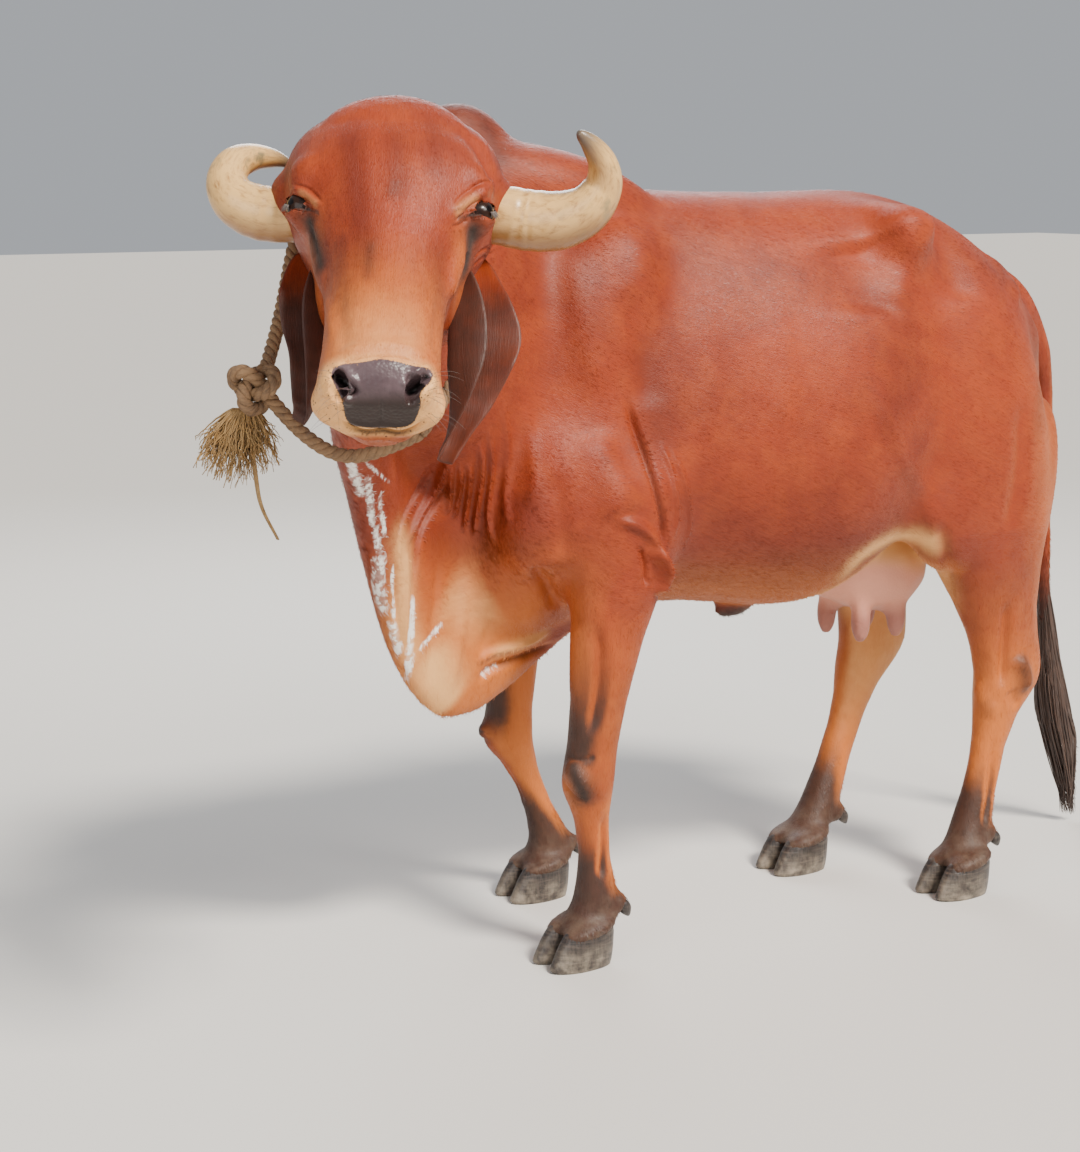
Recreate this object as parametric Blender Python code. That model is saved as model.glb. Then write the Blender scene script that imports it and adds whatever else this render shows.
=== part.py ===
"""A Gir cow, standing square with her head turned to her left: a still, life-size model.

Design axes: X to the animal's left, -Y forward, +Z up, floor at Z = 0, in metres. The whole
model hangs from one empty, which moves the middle of its footprint to the origin at the end.
The head has its own frame: across (to its left), along (from eyes to nose) and out (from the face).
"""
import math
import random

import bmesh
import bpy
import numpy as np
from mathutils import Matrix, Vector
from mathutils.bvhtree import BVHTree

# Driving sizes of the body
BACK_HEIGHT = 1.290
HUMP_HEIGHT = 1.420
CHEST_DEPTH = 0.715
BARREL_HALF_WIDTH = 0.280
GAP = 0.0003
SEAT_GAP = 0.001

# Driving sizes of the head, with the point midway between the eyes and the way the face looks
FACE_CENTRE = Vector((0.586, -0.966, 1.272))
HEAD_TURN = math.radians(57.5)
FACE_SLOPE = math.radians(42.0)
HEAD_ROLL = math.radians(2.7)
EYE_RADIUS = 0.0235
EYE_PLACE = Vector((0.112, -0.008, -0.014))
GAZE = Vector((0.74, 0.14, 0.66)).normalized()

# Fineness: blend cells and triangle budgets
BODY_CELL = 0.0075
HEAD_CELL = 0.0045
BODY_TRIANGLES = 4900
HEAD_TRIANGLES = 2100
UDDER_TRIANGLES = 320

COAT_RED = (0.36, 0.085, 0.03)
SKIN_PINK = (0.80, 0.50, 0.42)
HORN_IVORY = (0.78, 0.66, 0.45)
HOOF_GREY = (0.12, 0.10, 0.09)
EYE_DARK = (0.012, 0.008, 0.006)
TAIL_BLACK = (0.03, 0.022, 0.02)
ROPE_TAN = (0.42, 0.29, 0.16)

PIECE = {}


def clear_scene():
    for item in list(bpy.data.objects):
        bpy.data.objects.remove(item, do_unlink=True)


def material(name, colour, roughness, metallic=0.0):
    made = bpy.data.materials.new(name)
    made.use_nodes = True
    shader = made.node_tree.nodes["Principled BSDF"]
    shader.inputs["Base Color"].default_value = (*colour, 1.0)
    shader.inputs["Roughness"].default_value = roughness
    shader.inputs["Metallic"].default_value = metallic
    return made


def new_object(name, mesh):
    item = bpy.data.objects.new(name, mesh)
    bpy.context.collection.objects.link(item)
    return item


def from_bmesh(name, work):
    bmesh.ops.recalc_face_normals(work, faces=work.faces)
    if work.calc_volume(signed=True) < 0:
        bmesh.ops.reverse_faces(work, faces=work.faces)
    mesh = bpy.data.meshes.new(name)
    work.to_mesh(mesh)
    work.free()
    return new_object(name, mesh)


def evaluated_mesh(item):
    """The mesh of an object with its modifiers applied, in world space."""
    graph = bpy.context.evaluated_depsgraph_get()
    mesh = bpy.data.meshes.new_from_object(item.evaluated_get(graph))
    mesh.transform(item.matrix_world)
    return mesh


def settled(item):
    """Bakes an object's modifiers and placing into its mesh."""
    bpy.context.view_layer.update()
    mesh = evaluated_mesh(item)
    item.modifiers.clear()
    item.matrix_world = Matrix.Identity(4)
    item.data = mesh
    return item


def through(knots, count):
    """Rows of numbers read off a smooth curve that passes through every row of knots."""
    knots = np.array(knots, float)
    padded = np.vstack([2 * knots[0] - knots[1], knots, 2 * knots[-1] - knots[-2]])
    rows = []
    for step in np.linspace(0.0, len(knots) - 1.0, count):
        at = min(int(step), len(knots) - 2)
        t = step - at
        before, start, end, after = padded[at : at + 4]
        rows.append(
            0.5
            * (
                2 * start
                + (end - before) * t
                + (2 * before - 5 * start + 4 * end - after) * t**2
                + (3 * start - before - 3 * end + after) * t**3
            )
        )
    return np.array(rows)


def section(centre, across, up, width, above, below, power=2.0, sides=24, under=None):
    """A ring of points: a squared ellipse with its own height above and below its centre."""
    ring = []
    for k in range(sides):
        angle = math.tau * k / sides
        c, s = math.cos(angle), math.sin(angle)
        bend = power if s >= 0 or under is None else under
        x = width * math.copysign(abs(c) ** (2 / bend), c)
        y = (above if s >= 0 else below) * math.copysign(abs(s) ** (2 / bend), s)
        ring.append(centre + across * x + up * y)
    return ring


def bridge(name, rings):
    """Closes a stack of equal rings into one solid, with a fan at each end."""
    work = bmesh.new()
    rows = [[work.verts.new(p) for p in ring] for ring in rings]
    for low, high in zip(rows, rows[1:]):
        for k in range(len(low)):
            after = (k + 1) % len(low)
            work.faces.new((low[k], low[after], high[after], high[k]))
    for row in (rows[0], rows[-1]):
        tip = work.verts.new(sum((v.co for v in row), Vector()) / len(row))
        for k in range(len(row)):
            work.faces.new((row[k], row[(k + 1) % len(row)], tip))
    return from_bmesh(name, work)


def mass(name, centre, radii, turn=(0, 0, 0), fine=3):
    """An ellipsoid of flesh or bone."""
    work = bmesh.new()
    bmesh.ops.create_icosphere(work, subdivisions=fine, radius=1.0)
    item = from_bmesh(name, work)
    spin = Matrix.Rotation(math.radians(turn[2]), 4, "Z")
    spin = spin @ Matrix.Rotation(math.radians(turn[1]), 4, "Y")
    spin = spin @ Matrix.Rotation(math.radians(turn[0]), 4, "X")
    item.data.transform(Matrix.Translation(centre) @ spin @ Matrix.Diagonal((*radii, 1.0)))
    return item


def tube(name, route, radii, sides=12, flat=1.0, hint=(0, 0, 1)):
    """A round or flattened bar along a route, one radius a point."""
    route = [Vector(p) for p in route]
    rings = []
    side = None
    for k, point in enumerate(route):
        ahead = (route[min(k + 1, len(route) - 1)] - route[max(k - 1, 0)]).normalized()
        side = ahead.cross(Vector(hint)) if side is None else side - ahead * side.dot(ahead)
        side.normalize()
        up = side.cross(ahead)
        rings.append(section(point, side, up, radii[k] * flat, radii[k], radii[k], 2.0, sides))
    return bridge(name, rings)


def joined(name, items):
    """Several objects made one, still as separate shells."""
    work = bmesh.new()
    for item in items:
        work.from_mesh(item.data)
        bpy.data.objects.remove(item, do_unlink=True)
    mesh = bpy.data.meshes.new(name)
    work.to_mesh(mesh)
    work.free()
    return new_object(name, mesh)


def blended(item, cell, rounds, broad=0, share=None):
    """Melts overlapping shells into one smooth skin, with broad rounds where share(point) is near 1."""
    melt = item.modifiers.new("melt", "REMESH")
    melt.mode = "VOXEL"
    melt.voxel_size = cell
    settled(item)
    ease = item.modifiers.new("ease", "SMOOTH")
    ease.factor = 0.5
    ease.iterations = rounds
    if broad:
        group = item.vertex_groups.new(name="broad")
        for vert in item.data.vertices:
            group.add([vert.index], share(vert.co), "REPLACE")
        wide = item.modifiers.new("wide", "SMOOTH")
        wide.factor = 0.5
        wide.iterations = broad
        wide.vertex_group = "broad"
    settled(item)
    item.vertex_groups.clear()
    return item


def ramp(value, low, high):
    """0 below low, 1 above high, eased between."""
    t = min(1.0, max(0.0, (value - low) / (high - low)))
    return t * t * (3 - 2 * t)


def thinned(item, triangles):
    count = sum(len(f.vertices) - 2 for f in item.data.polygons)
    thin = item.modifiers.new("thin", "DECIMATE")
    thin.ratio = min(1.0, triangles / count)
    thin.use_collapse_triangulate = True
    even = item.modifiers.new("even", "SMOOTH")
    even.factor = 0.35
    even.iterations = 2
    return settled(item)


def copied(name, item):
    return new_object(name, item.data.copy())


def swollen(item, by):
    """A copy grown by a distance along its normals, for cutting a neighbour with a gap."""
    grown = copied(item.name + "_grown", item)
    work = bmesh.new()
    work.from_mesh(grown.data)
    work.normal_update()
    for vert in work.verts:
        vert.co += vert.normal * by * vert.calc_shell_factor()
    work.to_mesh(grown.data)
    work.free()
    return grown


def largest(item):
    """Keeps the largest closed surface of a mesh."""
    work = bmesh.new()
    work.from_mesh(item.data)
    left = set(work.verts)
    shells = []
    while left:
        front = [left.pop()]
        shell = set(front)
        while front:
            vert = front.pop()
            for edge in vert.link_edges:
                other = edge.other_vert(vert)
                if other not in shell:
                    shell.add(other)
                    front.append(other)
        left -= shell
        shells.append(shell)
    spans = []
    for shell in shells:
        points = np.array([v.co for v in shell])
        spans.append(float(np.prod(np.ptp(points, axis=0) + 1e-6)))
    keep = shells[int(np.argmax(spans))]
    bmesh.ops.delete(work, geom=[v for v in work.verts if v not in keep], context="VERTS")
    work.to_mesh(item.data)
    work.free()
    return item


def boolean(item, other, action, solver="EXACT"):
    other.display_type = "WIRE"
    other.hide_render = True
    cut = item.modifiers.new(action.lower(), "BOOLEAN")
    cut.operation = action
    cut.solver = solver
    cut.object = other
    settled(item)
    bpy.data.objects.remove(other, do_unlink=True)
    return item


def united(name, items):
    """One Boolean union of several closed pieces."""
    first = items[0]
    group = bpy.data.collections.new(name + "_pieces")
    for item in items[1:]:
        group.objects.link(item)
    join = first.modifiers.new("join", "BOOLEAN")
    join.operand_type = "COLLECTION"
    join.operation = "UNION"
    join.collection = group
    settled(first)
    for item in items[1:]:
        bpy.data.objects.remove(item, do_unlink=True)
    bpy.data.collections.remove(group)
    first.name = name
    return largest(first)


def block(low, high, frame=None):
    """A box between two corners, in an optional frame."""
    work = bmesh.new()
    bmesh.ops.create_cube(work, size=1.0)
    low, high = Vector(low), Vector(high)
    size = high - low
    place = Matrix.Translation((low + high) / 2) @ Matrix.Diagonal((*size, 1.0))
    bmesh.ops.transform(work, matrix=(frame or Matrix.Identity(4)) @ place, verts=work.verts)
    return from_bmesh("block", work)


def plane_frame(point, normal):
    """A frame whose Z axis is a plane's normal, at a point of the plane."""
    up = Vector(normal).normalized()
    side = Vector((0, 0, 1)).cross(up)
    if side.length < 1e-3:
        side = Vector((1, 0, 0)).cross(up)
    side.normalize()
    basis = Matrix((side, up.cross(side), up)).transposed().to_4x4()
    return Matrix.Translation(point) @ basis


def taken(item, name, point, normal, reach, length):
    """Parts a mesh: the side of a bounded plane that its normal points to becomes a new piece."""
    frame = plane_frame(point, normal)
    piece = copied(name, item)
    boolean(piece, block((-reach, -reach, 0), (reach, reach, length), frame), "INTERSECT")
    side = reach + GAP
    boolean(item, block((-side, -side, -GAP), (side, side, length + GAP), frame), "DIFFERENCE")
    return largest(piece)


def boxed(item, name, zone, top):
    """Parts a mesh: what lies in an upright zone, below a level, becomes a new piece."""
    low, high = zone
    piece = copied(name, item)
    boolean(piece, block((*low, -0.1), (*high, top)), "INTERSECT")
    grown = block((low[0] - GAP, low[1] - GAP, -0.1), (high[0] + GAP, high[1] + GAP, top + GAP))
    boolean(item, grown, "DIFFERENCE")
    return largest(piece)


def head_matrix():
    """The head's frame, left-handed: X across, Y along the face line to the nose, Z out of the face."""
    ahead = Vector((math.sin(HEAD_TURN), -math.cos(HEAD_TURN), 0))
    up = Vector((0, 0, 1))
    level = Vector((math.cos(HEAD_TURN), math.sin(HEAD_TURN), 0))
    along = ahead * math.cos(FACE_SLOPE) - up * math.sin(FACE_SLOPE)
    proud = ahead * math.sin(FACE_SLOPE) + up * math.cos(FACE_SLOPE)
    across = level * math.cos(HEAD_ROLL) - proud * math.sin(HEAD_ROLL)
    out = proud * math.cos(HEAD_ROLL) + level * math.sin(HEAD_ROLL)
    basis = Matrix((across, along, out)).transposed().to_4x4()
    return Matrix.Translation(FACE_CENTRE) @ basis


HEAD = head_matrix()


def on_head(across, along, out):
    return HEAD @ Vector((across, along, out))


# The trunk: distance back, middle, top, widest height, bottom and half width of each section
TRUNK = (
    (-0.575, 0.02, 0.95, 0.82, 0.66, 0.05),
    (-0.53, 0.01, 1.10, 0.84, 0.59, 0.125),
    (-0.46, 0.0, 1.24, 0.86, 0.56, 0.175),
    (-0.36, 0.0, BACK_HEIGHT + 0.01, 0.88, 0.565, 0.205),
    (-0.24, 0.0, BACK_HEIGHT + 0.005, 0.88, BACK_HEIGHT - CHEST_DEPTH, 0.222),
    (-0.10, 0.005, BACK_HEIGHT - 0.003, 0.88, 0.57, 0.248),
    (0.04, 0.01, BACK_HEIGHT - 0.006, 0.86, 0.548, BARREL_HALF_WIDTH - 0.005),
    (0.15, 0.015, BACK_HEIGHT - 0.004, 0.87, 0.55, BARREL_HALF_WIDTH),
    (0.26, 0.02, BACK_HEIGHT - 0.002, 0.90, 0.60, 0.245),
    (0.36, 0.025, BACK_HEIGHT - 0.018, 0.95, 0.69, 0.200),
    (0.46, 0.03, 1.236, 0.97, 0.74, 0.165),
    (0.56, 0.03, 1.180, 0.95, 0.75, 0.135),
    (0.65, 0.03, 1.105, 0.93, 0.78, 0.095),
    (0.715, 0.03, 1.020, 0.92, 0.84, 0.045),
)


def trunk():
    rings = []
    across, up = Vector((1, 0, 0)), Vector((0, 0, 1))
    for y, x, top, wide, bottom, half in through(TRUNK, 40):
        centre = Vector((x, y, wide))
        rings.append(section(centre, across, up, half, top - wide, wide - bottom, 2.15, 32))
    return bridge("trunk", rings)


# The neck's sections: middle, half width, height above and below the middle
NECK = (
    (0.00, -0.36, 1.00, 0.150, 0.285, 0.33),
    (0.03, -0.48, 1.03, 0.135, 0.275, 0.31),
    (0.09, -0.60, 1.07, 0.118, 0.250, 0.26),
    (0.18, -0.71, 1.12, 0.105, 0.220, 0.21),
    (0.29, -0.80, 1.17, 0.098, 0.195, 0.17),
    (0.40, -0.87, 1.22, 0.100, 0.165, 0.14),
    (0.47, -0.92, 1.25, 0.095, 0.120, 0.12),
)


NECK_PART = Vector((0.07, -0.53, 1.05))
NECK_FACING = Vector((0.42, -0.90, 0.10))


def neck():
    rows = through(NECK, 22)
    rings = []
    for k, row in enumerate(rows):
        ahead = Vector(rows[min(k + 1, 21)][:3] - rows[max(k - 1, 0)][:3])
        ahead.z = 0.0
        side = Vector((0, 0, 1)).cross(ahead).normalized()
        rings.append(section(Vector(row[:3]), side, Vector((0, 0, 1)), row[3], row[4], row[5], 2.1, 28))
    return bridge("neck_core", rings)


# The dewlap's sections: place, top inside the neck, hanging edge, half thickness
DEWLAP = (
    (0.00, -0.26, 0.72, 0.565, 0.055),
    (0.00, -0.36, 0.78, 0.505, 0.050),
    (0.01, -0.45, 0.84, 0.445, 0.044),
    (0.03, -0.54, 0.90, 0.415, 0.040),
    (0.055, -0.62, 0.94, 0.435, 0.036),
    (0.08, -0.69, 0.98, 0.525, 0.036),
    (0.12, -0.745, 1.00, 0.65, 0.036),
    (0.19, -0.805, 1.03, 0.79, 0.037),
    (0.28, -0.870, 1.06, 0.89, 0.037),
    (0.38, -0.915, 1.10, 0.965, 0.034),
    (0.46, -0.945, 1.13, 1.03, 0.022),
)


def dewlap():
    rows = through(DEWLAP, 30)
    rings = []
    up = Vector((0, 0, 1))
    for k, row in enumerate(rows):
        ahead = Vector((*(rows[min(k + 1, 29)][:2] - rows[max(k - 1, 0)][:2]), 0.0))
        side = up.cross(ahead).normalized()
        middle = row[3] + 0.35 * (row[2] - row[3])
        centre = Vector((row[0], row[1], middle))
        rings.append(section(centre, side, up, row[4], row[2] - middle, middle - row[3], 2.3, 20))
    return bridge("dewlap_core", rings)


# Girth of a foreleg and a hind leg: how far down (0 body, 1 knee or hock, 2 fetlock, 3 hoof),
# half width, reach forward, reach back
FORE_GIRTH = (
    (-0.60, 0.020, 0.030, 0.030),
    (-0.45, 0.066, 0.115, 0.110),
    (-0.20, 0.066, 0.110, 0.115),
    (0.00, 0.060, 0.090, 0.105),
    (0.20, 0.055, 0.073, 0.078),
    (0.42, 0.050, 0.060, 0.060),
    (0.65, 0.043, 0.050, 0.049),
    (0.85, 0.041, 0.046, 0.045),
    (1.00, 0.047, 0.053, 0.045),
    (1.09, 0.045, 0.049, 0.043),
    (1.25, 0.033, 0.035, 0.036),
    (1.45, 0.026, 0.027, 0.034),
    (1.70, 0.026, 0.027, 0.035),
    (1.90, 0.034, 0.035, 0.043),
    (2.05, 0.039, 0.039, 0.047),
    (2.35, 0.037, 0.038, 0.042),
    (2.75, 0.044, 0.048, 0.044),
    (3.10, 0.050, 0.056, 0.047),
)
HIND_GIRTH = (
    (-1.00, 0.020, 0.050, 0.050),
    (-0.90, 0.070, 0.125, 0.125),
    (-0.60, 0.102, 0.175, 0.180),
    (-0.20, 0.106, 0.180, 0.190),
    (0.20, 0.088, 0.150, 0.170),
    (0.45, 0.067, 0.110, 0.130),
    (0.65, 0.052, 0.078, 0.105),
    (0.82, 0.044, 0.062, 0.098),
    (1.00, 0.048, 0.064, 0.094),
    (1.10, 0.047, 0.061, 0.072),
    (1.25, 0.037, 0.048, 0.046),
    (1.45, 0.029, 0.037, 0.040),
    (1.70, 0.028, 0.036, 0.040),
    (1.90, 0.034, 0.040, 0.045),
    (2.05, 0.039, 0.042, 0.048),
    (2.35, 0.038, 0.042, 0.044),
    (2.75, 0.044, 0.050, 0.046),
    (3.10, 0.050, 0.056, 0.048),
)

# Each leg: girth, where its body end, knee or hock, fetlock and hoof head are, and its side
LEGS = {
    "left_fore": (
        FORE_GIRTH,
        ((0.180, -0.335, 0.665), (0.170, -0.382, 0.318), (0.163, -0.362, 0.108), (0.160, -0.392, 0.052)),
        1,
    ),
    "right_fore": (
        FORE_GIRTH,
        ((-0.185, -0.300, 0.665), (-0.178, -0.328, 0.308), (-0.180, -0.236, 0.104), (-0.182, -0.262, 0.052)),
        -1,
    ),
    "left_hind": (
        HIND_GIRTH,
        ((0.168, 0.450, 0.775), (0.184, 0.538, 0.385), (0.200, 0.450, 0.108), (0.218, 0.408, 0.052)),
        1,
    ),
    "right_hind": (
        HIND_GIRTH,
        ((-0.120, 0.435, 0.775), (-0.092, 0.440, 0.405), (-0.062, 0.300, 0.108), (-0.055, 0.246, 0.052)),
        -1,
    ),
}


# Where each leg is parted from the trunk: corners of its zone seen from above, and the level
LEG_ZONE = {
    "left_fore": ((0.105, -0.62), (0.40, -0.05)),
    "right_fore": ((-0.40, -0.62), (-0.105, -0.05)),
    "left_hind": ((0.055, 0.30), (0.40, 0.80)),
    "right_hind": ((-0.40, 0.10), (0.030, 0.80)),
}
LEG_TOP = {"fore": 0.628, "hind": 0.655}


def leg_point(joints, down):
    """A point along a leg: whole numbers are its joints."""
    joints = np.array(joints, float)
    at = min(max(int(math.floor(down)), 0), 2)
    return Vector(joints[at] + (joints[at + 1] - joints[at]) * (down - at))


def leg(name):
    girth, joints, side = LEGS[name]
    rings = []
    for down, half, front, back in through(girth, 40):
        centre = leg_point(joints, down)
        rings.append(section(centre, Vector((1, 0, 0)), Vector((0, 1, 0)), half, back, front, 2.1, 20))
    return bridge(name + "_core", rings)


def shoulder_and_hip(side, lean):
    """The muscles and bones that show under the coat, on one side."""
    s = side
    return [
        mass("blade", (0.120 * s, -0.345, 1.02), (0.078, 0.135, 0.235), (-14, 8 * s, 0)),
        mass("blade_spine", (0.150 * s, -0.350, 1.00), (0.055, 0.060, 0.230), (-16, 10 * s, 0)),
        mass("upper_arm", (0.150 * s, -0.400, 0.80), (0.080, 0.120, 0.140), (20, 0, 0)),
        mass("triceps", (0.160 * s, -0.275, 0.800), (0.066, 0.110, 0.125), (-20, 0, 0)),
        mass("shoulder_point", (0.150 * s, -0.475, 0.745), (0.062, 0.065, 0.080)),
        mass("hook_bone", (0.168 * s + lean, 0.262, 1.214), (0.062, 0.082, 0.054), (-8, 24 * s, 0)),
        mass("loin_edge", (0.085 * s + lean, 0.225, 1.215), (0.125, 0.090, 0.060), (0, 10 * s, 0)),
        mass("rump", (0.085 * s + lean, 0.430, 1.070), (0.110, 0.205, 0.120), (-26, 0, 0)),
        mass("pin_bone", (0.076 * s + lean, 0.615, 1.010), (0.050, 0.062, 0.055), (-20, 0, 0)),
        mass("thigh", (0.150 * s + lean, 0.400, 0.860), (0.085, 0.140, 0.180), (10, 0, 0)),
        mass("stifle", (0.190 * s + lean * 0.5, 0.355, 0.715), (0.062, 0.085, 0.120), (14, 0, 0)),
    ]


def body():
    parts = [trunk(), neck(), dewlap()]
    parts += [leg(name) for name in LEGS]
    for side in (1, -1):
        parts += shoulder_and_hip(side, 0.025)
    hump_rise = HUMP_HEIGHT - 1.302
    parts.append(mass("hump_core", (0.008, -0.535, 1.320), (0.076, 0.120, hump_rise), (-20, 0, 0)))
    parts.append(mass("hump_root", (0.005, -0.470, 1.262), (0.108, 0.215, 0.072), (-8, 0, 0)))
    parts.append(mass("brisket", (0.0, -0.44, 0.64), (0.115, 0.150, 0.105)))
    return parts


# The head's sections: distance along the face, middle out, half width, reach out and in
SKULL = (
    (-0.240, -0.095, 0.040, 0.028, 0.040),
    (-0.222, -0.088, 0.088, 0.055, 0.075),
    (-0.185, -0.076, 0.126, 0.086, 0.118),
    (-0.135, -0.064, 0.146, 0.109, 0.152),
    (-0.080, -0.056, 0.148, 0.119, 0.172),
    (-0.030, -0.052, 0.136, 0.117, 0.176),
    (0.020, -0.050, 0.110, 0.107, 0.172),
    (0.070, -0.048, 0.088, 0.095, 0.156),
    (0.120, -0.044, 0.079, 0.086, 0.134),
    (0.170, -0.040, 0.076, 0.081, 0.110),
    (0.220, -0.034, 0.075, 0.077, 0.090),
    (0.265, -0.028, 0.076, 0.072, 0.078),
    (0.305, -0.025, 0.078, 0.064, 0.070),
    (0.330, -0.026, 0.071, 0.052, 0.058),
    (0.344, -0.028, 0.048, 0.032, 0.036),
)


def skull():
    rings = []
    across = HEAD.to_3x3() @ Vector((1, 0, 0))
    out = HEAD.to_3x3() @ Vector((0, 0, 1))
    for along, middle, half, above, below in through(SKULL, 36):
        rings.append(section(on_head(0, along, middle), across, out, half, above, below, 2.25, 32, 2.05))
    return bridge("skull", rings)


def head_mass(name, place, radii, turn=(0, 0, 0)):
    item = mass(name, place, radii, turn)
    item.data.transform(HEAD)
    item.data.flip_normals()
    return item


def head_masses():
    parts = []
    for s in (1, -1):
        parts += [
            head_mass("brow", (0.104 * s, -0.046, 0.012), (0.036, 0.034, 0.026), (0, 30 * s, 0)),
            head_mass("orbit", (0.112 * s, -0.012, -0.020), (0.024, 0.034, 0.030)),
            head_mass("horn_boss", (0.132 * s, -0.078, -0.062), (0.036, 0.044, 0.044)),
            head_mass("cheek_bone", (0.084 * s, 0.060, -0.030), (0.018, 0.080, 0.020), (0, 0, 9 * s)),
            head_mass("jaw_muscle", (0.070 * s, 0.010, -0.130), (0.034, 0.085, 0.080)),
            head_mass("nostril_wing", (0.047 * s, 0.314, 0.004), (0.027, 0.031, 0.027)),
            head_mass("upper_lip", (0.044 * s, 0.308, -0.036), (0.042, 0.036, 0.032)),
            head_mass("lip_corner", (0.058 * s, 0.245, -0.075), (0.018, 0.040, 0.022)),
        ]
    parts.append(head_mass("chin", (0.0, 0.300, -0.082), (0.046, 0.036, 0.024)))
    parts.append(head_mass("crest", (0.0, -0.115, 0.010), (0.105, 0.085, 0.045)))
    return parts


# The mouth's line from one corner round the front to the other, nostrils and lids, in the head's frame
MOUTH = (
    (-0.068, 0.195, -0.085),
    (-0.078, 0.245, -0.072),
    (-0.072, 0.300, -0.066),
    (-0.045, 0.340, -0.068),
    (0.000, 0.352, -0.070),
    (0.045, 0.340, -0.068),
    (0.072, 0.300, -0.066),
    (0.078, 0.245, -0.072),
    (0.068, 0.195, -0.085),
)
MOUTH_RADIUS = 0.0028
NOSTRIL = (0.048, 0.344, 0.036)
NOSTRIL_RADII = (0.0095, 0.019, 0.024)
NOSTRIL_SUNK = 0.004


def mouth_groove(coat):
    route = [on_head(*row) for row in through(MOUTH, 25)]
    route = laid_on(route, coat, 0.0, True)
    return tube("mouth", route, [MOUTH_RADIUS] * len(route), 6)


def nostril(side, face):
    """A slanting slot that is half sunk in the muzzle's surface."""
    rim = laid_on([on_head(NOSTRIL[0] * side, *NOSTRIL[1:])], face, -NOSTRIL_SUNK, True)[0]
    place = HEAD.inverted() @ rim
    return head_mass("nostril", place, NOSTRIL_RADII, (38, 22 * side, -24 * side))


# Rows of a lid from its rim outwards: half width and reach up and down in degrees, height off the eye
LID_ROWS = (
    (54, 25, 21, 0.0004),
    (57, 29, 25, 0.0034),
    (64, 40, 34, 0.0050),
    (80, 66, 60, 0.0030),
    (80, 66, 60, -0.0080),
)


def lids(side):
    """Both lids of an eye: a band of a sphere a little larger than the eyeball, with an almond opening."""
    gaze = Vector((GAZE.x * side, GAZE.y, GAZE.z))
    level = Vector((0.55 * side, -0.35, -0.75))
    level = (level - gaze * level.dot(gaze)).normalized()
    upright = gaze.cross(level) * side
    centre = Vector((EYE_PLACE.x * side, EYE_PLACE.y, EYE_PLACE.z))
    rows = []
    for wide, high, low, lift in LID_ROWS:
        ring = []
        for k in range(14):
            angle = math.tau * k / 14
            c, s = math.cos(angle), math.sin(angle)
            open_up = high if s > 0 else low
            spread = math.radians(1 / math.hypot(c / wide, s / open_up))
            toward = gaze * math.cos(spread) + (level * c + upright * s) * math.sin(spread)
            ring.append(HEAD @ (centre + toward * (EYE_RADIUS + lift)))
        rows.append(ring)
    work = bmesh.new()
    verts = [[work.verts.new(p) for p in ring] for ring in rows]
    for j in range(len(verts)):
        near, far = verts[j], verts[(j + 1) % len(verts)]
        for k in range(14):
            after = (k + 1) % 14
            work.faces.new((near[k], near[after], far[after], far[k]))
    return from_bmesh("lids", work)


# Horn routes in the head's frame, base to tip, with the radius at each point
LEFT_HORN = (
    (0.095, -0.070, -0.065, 0.037),
    (0.144, -0.067, -0.068, 0.040),
    (0.185, -0.062, -0.071, 0.041),
    (0.225, -0.055, -0.062, 0.039),
    (0.260, -0.058, -0.042, 0.033),
    (0.279, -0.074, -0.016, 0.026),
    (0.277, -0.084, 0.014, 0.020),
    (0.261, -0.088, 0.042, 0.014),
    (0.242, -0.088, 0.064, 0.006),
)
RIGHT_HORN = (
    (-0.095, -0.066, -0.074, 0.035),
    (-0.140, -0.066, -0.080, 0.037),
    (-0.180, -0.069, -0.080, 0.037),
    (-0.212, -0.084, -0.074, 0.033),
    (-0.226, -0.112, -0.066, 0.028),
    (-0.219, -0.143, -0.064, 0.023),
    (-0.198, -0.172, -0.074, 0.017),
    (-0.172, -0.194, -0.092, 0.008),
)


def horn(name, route):
    rows = through(route, 14)
    points = [on_head(*row[:3]) for row in rows]
    return tube(name, points, [row[3] for row in rows], 11)


# Ears: the line of the fold in the head's frame, half width, curl of the blade, turn of the front edge
LEFT_EAR = (
    (0.080, -0.020, -0.125, 0.024, 60, 50),
    (0.094, -0.004, -0.124, 0.040, 60, 90),
    (0.092, 0.040, -0.124, 0.062, 40, 135),
    (0.090, 0.092, -0.134, 0.074, 30, 150),
    (0.090, 0.142, -0.152, 0.070, 30, 150),
    (0.094, 0.186, -0.174, 0.050, 30, 140),
    (0.092, 0.222, -0.196, 0.029, 35, 110),
    (0.076, 0.248, -0.210, 0.016, 30, 60),
)
RIGHT_EAR = (
    (-0.082, -0.020, -0.125, 0.024, 60, 50),
    (-0.097, -0.004, -0.126, 0.038, 60, 90),
    (-0.094, 0.034, -0.132, 0.050, 50, 125),
    (-0.092, 0.074, -0.148, 0.046, 45, 140),
    (-0.092, 0.112, -0.166, 0.036, 45, 140),
    (-0.094, 0.144, -0.186, 0.030, 45, 130),
    (-0.100, 0.170, -0.204, 0.023, 40, 110),
    (-0.111, 0.186, -0.216, 0.014, 30, 60),
)
EAR_TURNED = 0.25
EAR_SHARP = 20.0
EAR_HALF_THICK = 0.003


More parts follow.
